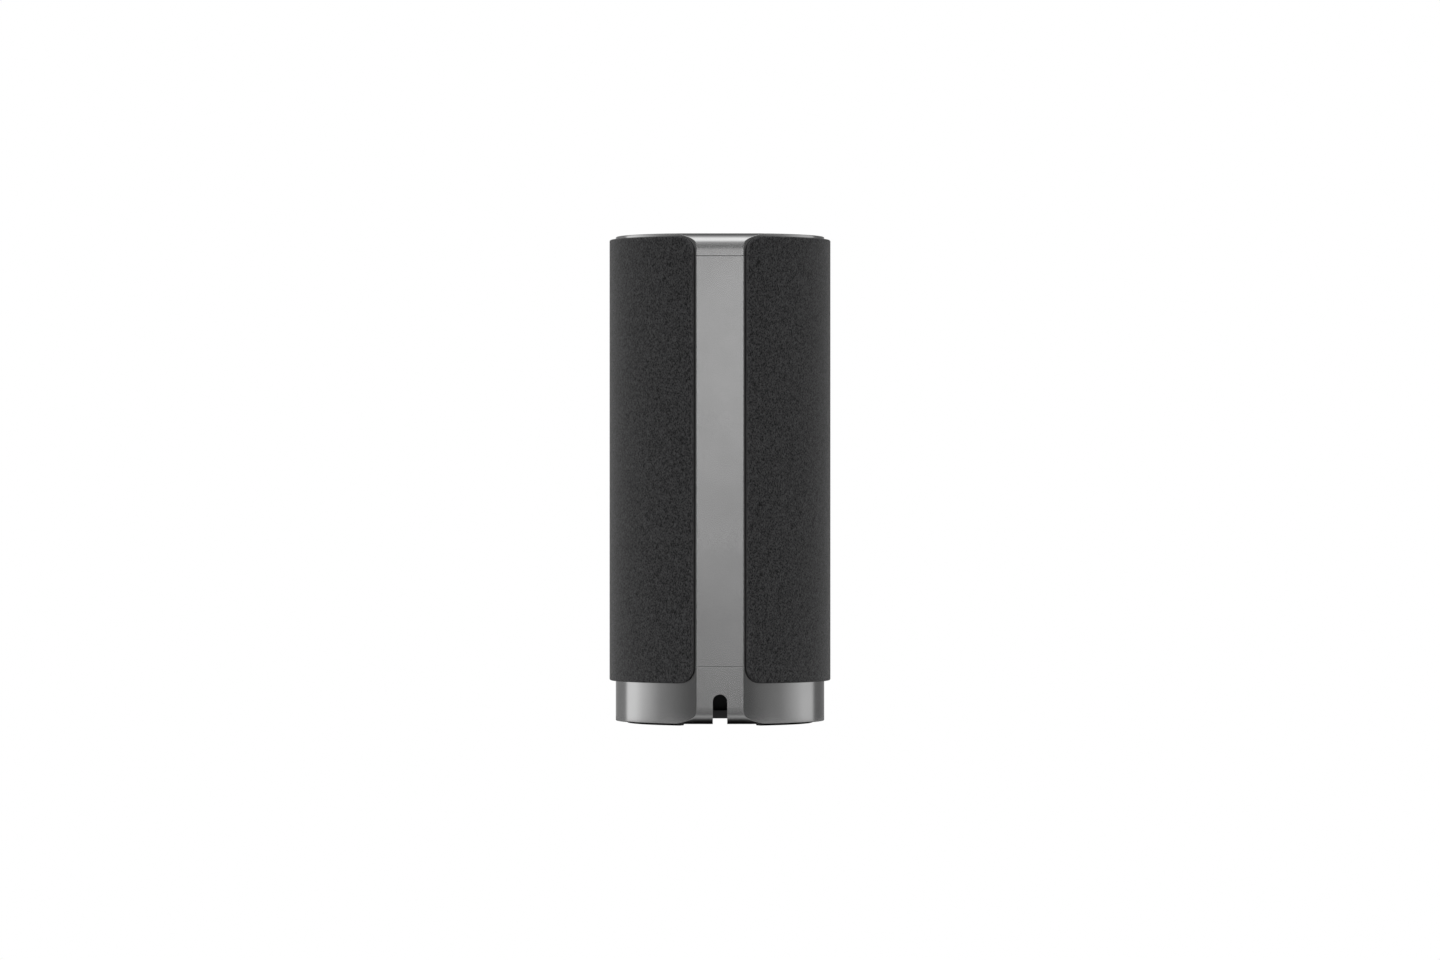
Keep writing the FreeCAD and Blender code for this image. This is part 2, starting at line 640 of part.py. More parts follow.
def make_cabinet_gasket():
    ring = cabinet_block(0.2, CABINET_TOP, LID_LOW).cut(cabinet_block(CABINET_WALL - 0.2, CABINET_TOP, LID_LOW))
    pads = [rod(CABINET_BOSS_R, CABINET_TOP, LID_LOW, at) for at in CABINET_BOSSES]
    return without(joined(ring, pads), [rod(1.3, 0, DEEP * 2, at) for at in CABINET_BOSSES])


def make_cabinet_lid():
    lid = cabinet_block(0, LID_LOW, LID_TOP)
    return without(lid, [rod(1.35, 0, DEEP * 2, at) for at in CABINET_BOSSES])


def make_cabinet_screws():
    """Long screws that clamp the top carrier, the lid and the gasket on the cabinet."""
    length = CARRIER_PLATE_TOP - CABINET_TOP + 9
    return Part.makeCompound(
        [screw(at, CARRIER_PLATE_TOP, length, 2.7, 1.25, 1.8, False) for at in CABINET_BOSSES])


def make_damping_foam():
    inside = CABINET_BACK + CABINET_WALL
    return box((-28, 28), (inside + 0.3, inside + 22), FOAM_Z)


# Woofer

def woofer_screw_places():
    reach = (WOOFER_FLANGE_R - 1.6) * math.sqrt(0.5)
    return [(x * reach, WOOFER_Z + z * reach) for x in (-1, 1) for z in (-1, 1)]


def make_woofer_basket():
    ring_front = MAGNET_FRONT + PLATE_T
    points = [
        (BASKET_BORE_R, FLANGE_FRONT), (WOOFER_FLANGE_R, FLANGE_FRONT), (WOOFER_FLANGE_R, CABINET_FRONT),
        (BASKET_BORE_R + 2, CABINET_FRONT), (BASKET_BACK_R, ring_front), (12, ring_front),
        (12, ring_front + 1.5), (BASKET_BACK_R - 1.3, ring_front + 1.5), (BASKET_BORE_R, CABINET_FRONT - 1),
    ]
    basket = spun_lines(points, WOOFER_Z)
    vent = (CABINET_FRONT - 17.5, CABINET_FRONT - 5)
    windows = [
        box((-DEEP, DEEP), vent, (WOOFER_Z - 7, WOOFER_Z + 7)),
        box((-7, 7), vent, (WOOFER_Z - DEEP, WOOFER_Z + DEEP)),
    ]
    screw_holes = [rod_along_y(0.95, CABINET_FRONT - 16, DEEP, x, z) for x, z in woofer_screw_places()]
    return without(basket, windows + screw_holes)


def make_woofer_top_plate():
    low = MAGNET_FRONT
    return spun_lines([(8.3, low), (MAGNET_R, low), (MAGNET_R, low + PLATE_T), (8.3, low + PLATE_T)], WOOFER_Z)


def make_woofer_magnet():
    low = MAGNET_FRONT - MAGNET_T
    return spun_lines([(10, low), (MAGNET_R, low), (MAGNET_R, MAGNET_FRONT), (10, MAGNET_FRONT)], WOOFER_Z)


def make_woofer_yoke():
    plate = MAGNET_FRONT - MAGNET_T
    tip = MAGNET_FRONT + PLATE_T
    points = [(0, plate - PLATE_T), (MAGNET_R, plate - PLATE_T), (MAGNET_R, plate), (POLE_R, plate),
              (POLE_R, tip), (0, tip)]
    return spun_lines(points, WOOFER_Z)


def make_woofer_voice_coil():
    outer = COIL_R + COIL_T
    back = MAGNET_FRONT - 5
    return spun_lines([(COIL_R, back), (outer, back), (outer, FLANGE_FRONT - CONE_DEPTH), (COIL_R, FLANGE_FRONT - CONE_DEPTH)],
                      WOOFER_Z)


def make_woofer_cone():
    neck = COIL_R + COIL_T
    rim = FLANGE_FRONT + 0.5
    root = FLANGE_FRONT - CONE_DEPTH
    return spun_lines([(neck, root), (neck, root + 1.3), (CONE_R, rim), (CONE_R, rim - CONE_T)], WOOFER_Z)


def make_woofer_dust_cap():
    return dome_along_y(10.5, FLANGE_FRONT - 13.3, 4.0, 0.5, WOOFER_Z)


def make_woofer_spider():
    neck = COIL_R + COIL_T + 0.05
    return spun_lines([(neck, SPIDER_BACK), (SPIDER_R, SPIDER_BACK), (SPIDER_R, SPIDER_BACK + 0.5),
                       (neck, SPIDER_BACK + 0.5)], WOOFER_Z)


def make_woofer_surround():
    """Half-roll of rubber from the cone's rim to the flange."""
    rim = FLANGE_FRONT + 0.5
    crown = (CONE_R + 0.25 + BASKET_BORE_R + 0.75) / 2
    roll = crown - CONE_R
    skin = 0.5
    front = rim + skin
    steps = [
        ((CONE_R - 1.2, front),),
        ((CONE_R, front),),
        ((crown, front + roll), (crown + roll, front)),
        ((crown + roll + 1.1, front),),
        ((crown + roll + 1.1, FLANGE_FRONT),),
        ((crown + roll - skin, FLANGE_FRONT),),
        ((crown + roll - skin, front),),
        ((crown, front + roll - skin), (CONE_R + skin, front)),
        ((CONE_R + skin, rim),),
        ((CONE_R - 1.2, rim),),
    ]
    return spun((CONE_R - 1.2, rim), steps, WOOFER_Z)


def make_woofer_screws():
    screws = []
    for x, z in woofer_screw_places():
        head = rod_along_y(1.5, FLANGE_FRONT, FLANGE_FRONT + 1.4, x, z)
        screws.append(joined(head, [rod_along_y(0.9, FLANGE_FRONT - 7, FLANGE_FRONT, x, z)]))
    return Part.makeCompound(screws)


# Tweeter

def make_tweeter_housing():
    front = CABINET_FRONT
    back = front - 12
    can = TWEETER_CAN_R
    bore = TWEETER_DOME_R + 0.4
    points = [(0, back), (can, back), (can, front), (TWEETER_FLANGE_R, front), (TWEETER_FLANGE_R, front + 2),
              (bore, front + 2), (bore, front + 0.4), (can - 1.2, front + 0.4), (can - 1.2, back + 1.2),
              (0, back + 1.2)]
    return spun_lines(points, TWEETER_Z)


def make_tweeter_magnet():
    low = CABINET_FRONT - 10.8
    return rod_along_y(TWEETER_CAN_R - 1.3, low, low + 9.8, 0, TWEETER_Z)


def make_tweeter_dome():
    foot = CABINET_FRONT + 0.1
    collar = spun_lines([(TWEETER_DOME_R - 0.6, foot), (TWEETER_DOME_R, foot), (TWEETER_DOME_R, foot + 0.6),
                         (TWEETER_DOME_R - 0.6, foot + 0.6)], TWEETER_Z)
    return joined(collar, [dome_along_y(TWEETER_DOME_R, foot + 0.5, 3.4, 0.5, TWEETER_Z)])


# Passive radiators

def radiator_ring(rim_out, rim_in, low, high):
    """Racetrack ring between two distances from the frame's outer edge."""
    outer = stadium(RADIATOR_HALF_Y - rim_out, RADIATOR_HALF_Z - rim_out, low, high, RADIATOR_Z)
    return outer.cut(stadium(RADIATOR_HALF_Y - rim_in, RADIATOR_HALF_Z - rim_in, low, high, RADIATOR_Z))


def on_side(solid, side):
    """Solid made for the +X side, or its mirror image for the -X side."""
    return solid if side > 0 else solid.mirror(V(0, 0, 0), V(1, 0, 0))


def make_radiator_frame(side):
    return on_side(radiator_ring(0, RADIATOR_RIM, CABINET_SIDE, CABINET_SIDE + RADIATOR_FRAME_T), side)


def make_radiator_plate(side):
    front = CABINET_SIDE + RADIATOR_FRAME_T
    inset = RADIATOR_RIM + RADIATOR_ROLL
    plate = stadium(RADIATOR_HALF_Y - inset, RADIATOR_HALF_Z - inset, front - RADIATOR_PLATE_T, front, RADIATOR_Z)
    return on_side(plate, side)


def make_radiator_surround(side):
    """Rubber ring with a raised roll between the frame and the plate."""
    front = CABINET_SIDE + RADIATOR_FRAME_T
    inset = RADIATOR_RIM + RADIATOR_ROLL
    lips = radiator_ring(1.5, inset + 1.5, front, front + 0.8)
    roll = radiator_ring(RADIATOR_RIM, inset, front, front + 2.8)
    groove = radiator_ring(RADIATOR_RIM + 0.8, inset - 0.8, front, front + 2.0)
    return on_side(joined(lips, [roll]).cut(groove), side)


# Main board and the spine's carrier

def make_main_board():
    half = MAIN_BOARD_HALF
    board = box((-half, half), (MAIN_BOARD_BACK, MAIN_BOARD_FRONT), MAIN_BOARD_Z)
    return without(board, [rod_along_y(1.1, -DEEP, 0, x, z) for x, z in BOARD_SCREWS])


def make_board_screws():
    screws = []
    for x, z in BOARD_SCREWS:
        head = rod_along_y(2.0, MAIN_BOARD_BACK - 1.3, MAIN_BOARD_BACK, x, z)
        screws.append(joined(head, [rod_along_y(0.95, MAIN_BOARD_BACK, CABINET_BACK - 0.4, x, z)]))
    return Part.makeCompound(screws)


def make_main_board_chips():
    """Amplifier, memory, radio and connectors on the side that faces the spine."""
    places = [(-15, 20, 12, 12, 1.4), (12, 22, 14, 10, 1.6), (-14, 44, 9, 9, 1.0), (13, 46, 8, 12, 2.4),
              (-14, 106, 10, 14, 1.2), (14, 110, 12, 8, 1.8)]
    chips = []
    for x, rise, wide, tall, thick in places:
        z = MAIN_BOARD_Z[0] + rise
        chips.append(box((x - wide / 2, x + wide / 2), (MAIN_BOARD_BACK - thick, MAIN_BOARD_BACK),
                         (z - tall / 2, z + tall / 2)))
    return Part.makeCompound(chips)


def make_board_shield():
    return box((-13, 13), (MAIN_BOARD_BACK - 2.4, MAIN_BOARD_BACK),
               (MAIN_BOARD_Z[0] + 60, MAIN_BOARD_Z[0] + 92))


def make_spine_carrier():
    """Plate behind the metal strip, on two legs from the cabinet."""
    half = CARRIER_HALF
    plate = box((-half, half), (SPINE_INSIDE, CARRIER_FRONT), (CHASSIS_TOP, CARRIER_PLATE_Z))
    plate = plate.common(rod(CORE_R - METAL_WALL, 0, HEIGHT))
    legs = [box(CARRIER_LEG_X, (CARRIER_FRONT - 1, CABINET_BACK), leg) for leg in CARRIER_LEGS]
    return joined(plate, legs)


def make_ribbon_cable():
    return box(RIBBON_X, (MAIN_BOARD_BACK - RIBBON_T, MAIN_BOARD_BACK), (MAIN_BOARD_Z[1] - 8, SWITCH_BOARD_Z))


# Top

def button_places():
    """Volume up on the right, volume down on the left, action in front, microphone mute behind."""
    return [on_circle(BUTTON_AT, angle) for angle in (0, 180, 90, 270)]


def plate_boss_places():
    return [on_circle(PLATE_BOSS_AT, angle) for angle in (45, 135, 225, 315)]


def make_top_plate():
    """Dished disc inside the light ring, with holes for the buttons and the microphones."""
    edge = TOP_PLATE_R
    low = PLATE_UNDERSIDE
    rise = PLATE_EDGE_Z - PLATE_CENTRE_Z
    dish_r = (edge**2 + rise**2) / (2 * rise)
    disc = rod(edge, low, PLATE_EDGE_Z).cut(ball(dish_r, 0, 0, PLATE_CENTRE_Z + dish_r))
    disc = joined(disc, [rod(2.6, SWITCH_BOARD_TOP, low + 1, at) for at in plate_boss_places()])
    holes = [rod(BUTTON_R + CLEARANCE, low - 1, HEIGHT, at) for at in button_places()]
    holes += [rod(0.6, low - 1, HEIGHT, on_circle(MIC_AT, i * 360 / MIC_COUNT)) for i in range(MIC_COUNT)]
    holes += [rod(1.05, SWITCH_BOARD_TOP - 1, low, at) for at in plate_boss_places()]
    return without(disc, holes)


def make_light_ring():
    inner = LIGHT_RING_R - LIGHT_RING_WIDTH
    guide = tube(LIGHT_RING_R, inner, SWITCH_BOARD_TOP + 1.3, LIGHT_RING_TOP)
    return joined(guide, [tube(CARRIER_WALL_R - CLEARANCE, inner, LIGHT_FLANGE_LOW, LIGHT_FLANGE_TOP)])


def make_button(at):
    flange_top = PLATE_UNDERSIDE - BUTTON_GAP
    stem_low = SWITCH_BOARD_TOP + SWITCH_BODY + SWITCH_ACTUATOR + BUTTON_TRAVEL + BUTTON_GAP
    cap = rod(BUTTON_R, flange_top - 0.5, BUTTON_TOP, at)
    flange = rod(BUTTON_FLANGE_R, flange_top - BUTTON_FLANGE_T, flange_top, at)
    return joined(cap, [flange, rod(BUTTON_STEM_R, stem_low, flange_top, at)])


def make_tact_switches():
    switches = []
    for x, y in button_places():
        body = box((x - SWITCH_HALF, x + SWITCH_HALF), (y - SWITCH_HALF, y + SWITCH_HALF),
                   (SWITCH_BOARD_TOP, SWITCH_BOARD_TOP + SWITCH_BODY))
        top = SWITCH_BOARD_TOP + SWITCH_BODY
        switches.append(joined(body, [rod(1.7, top - 0.5, top + SWITCH_ACTUATOR, (x, y))]))
    return Part.makeCompound(switches)


def make_switch_board():
    board = rod(SWITCH_BOARD_R, SWITCH_BOARD_Z, SWITCH_BOARD_TOP)
    return without(board, [rod(1.1, SWITCH_BOARD_Z - 1, SWITCH_BOARD_TOP + 1, at) for at in plate_boss_places()])


def board_parts(count, radius, size):
    """Equal blocks on the switch board, spread round a circle."""
    blocks = []
    for i in range(count):
        x, y = on_circle(radius, i * 360 / count)
        block = box((x - size[0] / 2, x + size[0] / 2), (y - size[1] / 2, y + size[1] / 2),
                    (SWITCH_BOARD_TOP, SWITCH_BOARD_TOP + size[2]))
        block.rotate(V(x, y, 0), UP, i * 360 / count)
        blocks.append(block)
    return Part.makeCompound(blocks)


def make_top_carrier():
    """Tray on the cabinet's lid that holds the top cap, the light ring and the switch board."""
    plate = flat_disc(METAL_WALL + 2 * CLEARANCE, CARRIER_PLATE_Z, CARRIER_PLATE_TOP)
    posts = [rod(4.5, LID_TOP, CARRIER_PLATE_Z + 1, at) for at in CABINET_BOSSES]
    posts += [rod(2.6, CARRIER_PLATE_TOP - 1, SWITCH_BOARD_Z, at) for at in plate_boss_places()]
    wall = tube(CARRIER_WALL_R, SWITCH_BOARD_R + CLEARANCE, CARRIER_PLATE_TOP - 1, LIGHT_FLANGE_LOW)
    carrier = joined(plate, posts + [wall])
    holes = [rod(1.35, 0, DEEP * 2, at) for at in CABINET_BOSSES]
    holes += [rod(1.05, 0, DEEP * 2, at) for at in plate_boss_places()]
    holes.append(box((RIBBON_X[0] - 1, RIBBON_X[1] + 1), (MAIN_BOARD_BACK - 1, MAIN_BOARD_FRONT), (0, DEEP * 2)))
    return without(carrier, holes + cap_screw_holes())


def make_top_screws():
    """Small screws from below: board and top plate to the carrier, and the cap's bosses."""
    board = [screw(at, CARRIER_PLATE_Z, 11, 2.1, 1.0, 1.2, True) for at in plate_boss_places()]
    cap = [screw(on_circle(CAP_BOSS_AT, a), CARRIER_PLATE_Z, 10, 1.6, 0.8, 1.2, True) for a in CAP_BOSS_ANGLES]
    return Part.makeCompound(board + cap)


def all_parts():
    """Every sub-part by the name of its node."""
    up, down, action, mute = button_places()
    return {
        "top_cap": make_top_cap(),
        "rear_spine": make_rear_spine(),
        "base_ring": make_base_ring(),
        "grille_frame": make_grille_frame(),
        "grille_cloth": make_grille_cloth(),
        "left_foot": make_foot(-1),
        "right_foot": make_foot(1),
        "bottom_cover": make_bottom_cover(),
        "bottom_screws": make_bottom_screws(),
        "cable_well": make_cable_well(),
        "power_jack": make_power_jack(),
        "jack_pin": make_jack_pin(),
        "power_board": make_power_board(),
        "power_components": make_power_components(),
        "power_heatsink": make_power_heatsink(),
        "base_chassis": make_base_chassis(),
        "base_screws": make_base_screws(),
        "cabinet_tube": make_cabinet_tube(),
        "cabinet_gasket": make_cabinet_gasket(),
        "cabinet_lid": make_cabinet_lid(),
        "cabinet_screws": make_cabinet_screws(),
        "damping_foam": make_damping_foam(),
        "woofer_basket": make_woofer_basket(),
        "woofer_top_plate": make_woofer_top_plate(),
        "woofer_magnet": make_woofer_magnet(),
        "woofer_yoke": make_woofer_yoke(),
        "woofer_spider": make_woofer_spider(),
        "woofer_voice_coil": make_woofer_voice_coil(),
        "woofer_cone": make_woofer_cone(),
        "woofer_dust_cap": make_woofer_dust_cap(),
        "woofer_surround": make_woofer_surround(),
        "woofer_screws": make_woofer_screws(),
        "tweeter_housing": make_tweeter_housing(),
        "tweeter_magnet": make_tweeter_magnet(),
        "tweeter_dome": make_tweeter_dome(),
        "left_radiator_frame": make_radiator_frame(-1),
        "left_radiator_plate": make_radiator_plate(-1),
        "left_radiator_surround": make_radiator_surround(-1),
        "right_radiator_frame": make_radiator_frame(1),
        "right_radiator_plate": make_radiator_plate(1),
        "right_radiator_surround": make_radiator_surround(1),
        "main_board": make_main_board(),
        "main_board_chips": make_main_board_chips(),
        "board_shield": make_board_shield(),
        "board_screws": make_board_screws(),
        "spine_carrier": make_spine_carrier(),
        "ribbon_cable": make_ribbon_cable(),
        "top_carrier": make_top_carrier(),
        "switch_board": make_switch_board(),
        "tact_switches": make_tact_switches(),
        "leds": board_parts(LED_COUNT, LIGHT_RING_R - LIGHT_RING_WIDTH / 2, (1.6, 2.2, 0.9)),
        "microphones": board_parts(MIC_COUNT, MIC_AT, (2.7, 3.5, 1.0)),
        "light_ring": make_light_ring(),
        "top_plate": make_top_plate(),
        "volume_up_button": make_button(up),
        "volume_down_button": make_button(down),
        "action_button": make_button(action),
        "mute_button": make_button(mute),
        "top_screws": make_top_screws(),
    }


os.makedirs("parts", exist_ok=True)
for name, shape in all_parts().items():
    shape.exportStep(f"parts/{name}.step")
    print(f"{name:24} {len(shape.Solids):3} solids {shape.Volume:12.1f} mm3 valid {shape.isValid()}")
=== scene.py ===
# %% [markdown]
# # A cloth-wrapped smart speaker
# The real speaker is a round column. Woven cloth is wrapped round its front and sides, and a flat strip of
# anodised aluminium runs down its back from a metal cap to a metal base ring. The engineering model gives
# every piece its place and its size. This file adds what the eye judges: rounded edges, cloth, and the way
# each finish takes the light. Sizes are in millimetres here and become metres when a mesh is made.
# The speaker's back faces -Y, towards the camera, and +Z is up.

# %% The engineering frame
import json
import math

import bmesh
import bpy
import numpy as np
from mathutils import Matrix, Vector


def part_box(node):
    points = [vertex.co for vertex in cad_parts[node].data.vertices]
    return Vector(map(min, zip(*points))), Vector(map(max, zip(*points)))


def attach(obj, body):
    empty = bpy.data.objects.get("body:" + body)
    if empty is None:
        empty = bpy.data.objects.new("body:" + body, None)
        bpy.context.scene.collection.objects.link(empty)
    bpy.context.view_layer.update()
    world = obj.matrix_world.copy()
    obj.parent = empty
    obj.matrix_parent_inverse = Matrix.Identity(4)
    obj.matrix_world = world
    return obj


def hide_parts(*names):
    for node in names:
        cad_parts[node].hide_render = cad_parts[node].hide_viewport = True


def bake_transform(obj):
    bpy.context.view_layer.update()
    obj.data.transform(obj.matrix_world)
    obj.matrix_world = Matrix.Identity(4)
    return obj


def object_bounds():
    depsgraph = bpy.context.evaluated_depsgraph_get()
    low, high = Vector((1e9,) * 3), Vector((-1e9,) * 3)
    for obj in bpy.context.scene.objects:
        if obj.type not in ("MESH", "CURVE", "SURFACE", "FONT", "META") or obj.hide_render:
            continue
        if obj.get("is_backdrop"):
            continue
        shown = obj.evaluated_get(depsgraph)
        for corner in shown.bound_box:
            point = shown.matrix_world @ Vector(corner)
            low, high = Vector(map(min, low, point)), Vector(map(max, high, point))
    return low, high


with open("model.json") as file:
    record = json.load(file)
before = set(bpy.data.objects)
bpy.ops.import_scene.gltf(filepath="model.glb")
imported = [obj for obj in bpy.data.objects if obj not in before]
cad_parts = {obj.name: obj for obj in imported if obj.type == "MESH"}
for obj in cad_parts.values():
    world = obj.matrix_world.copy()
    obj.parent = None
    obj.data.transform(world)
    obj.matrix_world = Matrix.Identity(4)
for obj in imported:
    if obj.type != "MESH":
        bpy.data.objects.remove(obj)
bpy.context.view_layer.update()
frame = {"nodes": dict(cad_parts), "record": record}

# %% [markdown]
# ## Sizes
# Pieces that are made again here take their sizes from the boxes of the pieces they stand for, so they
# stay true if the engineering model changes. Only the sizes that a box can't tell are written down.

# %% Sizes read from the frame
def box_mm(node):
    """Lowest and highest corner of a node in millimetres."""
    low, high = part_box(node)
    return np.array(low) * 1000, np.array(high) * 1000


CORE_R = round(float(box_mm("base_ring")[1][0]), 1)
FLAT = float(-box_mm("rear_spine")[0][1])
RING_LOW, RING_HIGH = (float(corner[2]) for corner in box_mm("base_ring"))
SPINE_LOW, SPINE_HIGH = (float(corner[2]) for corner in box_mm("rear_spine"))
SPINE_SIDE = float(box_mm("rear_spine")[1][0])
CAP_LOW, CAP_HIGH = SPINE_HIGH + SPINE_LOW - RING_HIGH, float(box_mm("top_cap")[1][2])
CLOTH_R = round(float(box_mm("grille_cloth")[1][0]), 1)
CLOTH_LOW, CLOTH_HIGH = (float(corner[2]) for corner in box_mm("grille_cloth"))
print(f"core radius {CORE_R}, flat at {FLAT:.2f}, cap from {CAP_LOW:.2f} to {CAP_HIGH:.2f}")

# %% Sizes that no box tells
WALL = 1.8
ROLL_R = 4.7
LEAD_R = 50.0
LEAD_TURN = math.radians(4.6)
RIM_ROUND = 0.4
EDGE_ROUND = 0.12
TOP_OPENING = 44.0
TOP_FLANGE = 3.0
BASE_LIP = 4.0
BASE_LIP_T = 2.8
SLOT_WIDTH = 7.1
SLOT_TOP = 15.7

# %% [markdown]
# ## Camera and studio
# A long lens stands level with the middle of the speaker and looks at its back. The floor is a pale sheet
# lit to pure white, and a second floor, with painted shade near the speaker and a painted glow under it, is
# there only for light and reflections, so that the metal mirrors a real table. The world is painted as a dim
# room with large soft boxes left, right and above.
# It could be built from lamps, but a painted room gives the long smooth gradients that satin metal needs.

# %% Camera
lens = bpy.data.cameras.new("long_lens")
lens.sensor_width = 36
lens.lens = 147.5
lens.clip_end = 100
camera = bpy.data.objects.new("camera", lens)
camera.location = (0, -2.95, 0.1211)
camera.rotation_euler = (math.pi / 2, 0, 0)
bpy.context.scene.collection.objects.link(camera)
bpy.context.scene.camera = camera
bpy.context.scene.view_settings.view_transform = "Standard"
print("camera at", tuple(camera.location), "lens", lens.lens)


# %% Colours and node helpers
def linear(hex_colour):
    """Scene-linear colour from an sRGB hex one: each part is divided by 12.92 if it is small, and else
    shifted by 0.055, scaled and raised to 2.4."""
    parts = [int(hex_colour[i:i + 2], 16) / 255 for i in (1, 3, 5)]
    return [c / 12.92 if c <= 0.04045 else ((c + 0.055) / 1.055) ** 2.4 for c in parts] + [1.0]


def add(tree, kind, settings=(), **inputs):
    """Node of a kind. An input is a value, or another node's output to link."""
    node = tree.nodes.new(kind)
    for name, value in dict(settings).items():
        setattr(node, name, value)
    for name, value in inputs.items():
        socket = node.inputs[int(name[1:])] if name[0] == "_" else node.inputs[name.replace("_", " ")]
        if isinstance(value, bpy.types.NodeSocket):
            tree.links.new(value, socket)
        else:
            socket.default_value = value
    return node


def ramp(tree, factor, stops, interpolation="LINEAR"):
    """Colour ramp from (place, grey or colour) stops."""
    node = add(tree, "ShaderNodeValToRGB", Fac=factor)
    node.color_ramp.interpolation = interpolation
    elements = node.color_ramp.elements
    while len(elements) < len(stops):
        elements.new(0.5)
    for element, (place, value) in zip(elements, stops):
        element.position = place
        element.color = value if isinstance(value, (list, tuple)) else (value, value, value, 1)
    return node.outputs[0]


def maths(tree, operation, *values):
    """One maths node."""
    node = add(tree, "ShaderNodeMath", {"operation": operation})
    for socket, value in zip(node.inputs, values):
        if isinstance(value, bpy.types.NodeSocket):
            tree.links.new(value, socket)
        else:
            socket.default_value = value
    return node.outputs[0]


# %% Studio room
world = bpy.data.worlds.new("studio_room")
bpy.context.scene.world = world
world.use_nodes = True
room = world.node_tree
room.nodes.clear()
direction = add(room, "ShaderNodeSeparateXYZ", _0=add(room, "ShaderNodeTexCoord").outputs["Generated"])
to_x, to_y, to_z = direction.outputs
towards_camera = maths(room, "MULTIPLY", to_y, -1.0)
azimuth = maths(room, "DIVIDE", maths(room, "ARCTAN2", to_x, towards_camera), math.pi)
pitch = maths(room, "DIVIDE", maths(room, "ARCTAN2", to_z, towards_camera), math.pi)
height = maths(room, "MULTIPLY_ADD", maths(room, "ABSOLUTE", to_x), -0.45, to_z)

# Walls: grey by azimuth, from 0 (towards the camera) to 1 (behind the speaker).
LEFT_WALL = [(0.0, 0.06), (0.18, 0.09), (0.25, 0.13), (0.39, 0.23), (0.52, 0.50), (0.60, 0.75), (0.69, 0.77),
             (0.71, 0.20), (0.78, 0.20), (0.87, 0.20), (0.95, 0.35), (1.0, 0.6)]
RIGHT_WALL = [(0.0, 0.06), (0.18, 0.08), (0.25, 0.13), (0.39, 0.20), (0.52, 0.40), (0.58, 0.51), (0.69, 0.52),
              (0.71, 0.12), (0.80, 0.12), (0.88, 0.16), (0.95, 0.25), (1.0, 0.6)]
left_wall = ramp(room, maths(room, "ABSOLUTE", azimuth), LEFT_WALL)
right_wall = ramp(room, azimuth, RIGHT_WALL)
walls = add(room, "ShaderNodeMix", {"data_type": "RGBA"}, _0=maths(room, "GREATER_THAN", to_x, 0.0),
            _6=left_wall, _7=right_wall).outputs[2]

# Overhead: grey by pitch, from 0 (level, towards the camera) through 0.5 (straight up) to 1.
OVERHEAD = [(0.0, 0.0), (0.03, 0.12), (0.058, 0.42), (0.10, 0.74), (0.16, 0.98), (0.26, 1.08), (0.33, 0.95),
            (0.42, 0.55), (0.50, 0.28), (0.60, 0.17), (0.72, 0.12), (1.0, 0.1)]
overhead = ramp(room, pitch, OVERHEAD)
above = ramp(room, height, [(0.07, 0.0), (0.22, 1.0)], "EASE")

# Front card: a narrow bright strip just above the camera's level, brighter to its sides.
CARD = [(0.0, 0.98), (0.045, 1.12), (0.06, 0.93), (0.085, 0.0)]
card = ramp(room, maths(room, "ABSOLUTE", azimuth), CARD)
card_height = ramp(room, maths(room, "ADD", maths(room, "MULTIPLY", to_z, 2.0), 0.5),
                   [(0.18, 0.0), (0.24, 0.17), (0.34, 0.15), (0.38, 0.0), (0.487, 0.0), (0.511, 0.91), (0.588, 1.02),
                    (0.610, 0.0)])
card_light = add(room, "ShaderNodeMix", {"data_type": "RGBA", "blend_type": "MULTIPLY"}, _0=1.0,
                 _6=card, _7=card_height).outputs[2]
lit = add(room, "ShaderNodeMix", {"data_type": "RGBA"}, _0=above, _6=walls, _7=overhead).outputs[2]
lit = add(room, "ShaderNodeMix", {"data_type": "RGBA", "blend_type": "ADD"}, _0=1.0, _6=lit,
          _7=card_light).outputs[2]
room_light = add(room, "ShaderNodeBackground", Color=lit, Strength=1.0)
white_page = add(room, "ShaderNodeBackground", Color=(1, 1, 1, 1), Strength=1.0)
chooser = add(room, "ShaderNodeMixShader", _0=add(room, "ShaderNodeLightPath").outputs["Is Camera Ray"],
              _1=room_light.outputs[0], _2=white_page.outputs[0])
add(room, "ShaderNodeOutputWorld", Surface=chooser.outputs[0])
print("world with", len(room.nodes), "nodes")


# %% Floors
def floor_sheet(name, size, height_m):
    """Square sheet on the table's level, facing up."""
    mesh = bpy.data.meshes.new(name)
    s = size / 2
    mesh.from_pydata([(-s, -s, height_m), (s, -s, height_m), (s, s, height_m), (-s, s, height_m)], [],
                     [(0, 1, 2, 3)])
    sheet = bpy.data.objects.new(name, mesh)
    bpy.context.scene.collection.objects.link(sheet)
    sheet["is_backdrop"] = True
    return sheet


def one_sided(tree, shader):
    """Shader that can be seen from above only, so that a view from below the table stays open."""
    clear = add(tree, "ShaderNodeBsdfTransparent")
    return add(tree, "ShaderNodeMixShader", _0=add(tree, "ShaderNodeNewGeometry").outputs["Backfacing"],
               _1=shader, _2=clear.outputs[0]).outputs[0]


# Table grey by distance from the speaker's outline, 0.5 being the outline and 1 being 10 mm out. It is painted
# dark close to the speaker, a painted contact shade, and it has a painted glow under the middle of it, which
# stands in for light coming back up under the speaker.
PAINTED_CONTACT_SHADE = [(0.40, 0.02), (0.50, 0.08), (0.56, 0.18), (0.66, 0.38), (0.82, 0.58), (1.0, 0.62)]

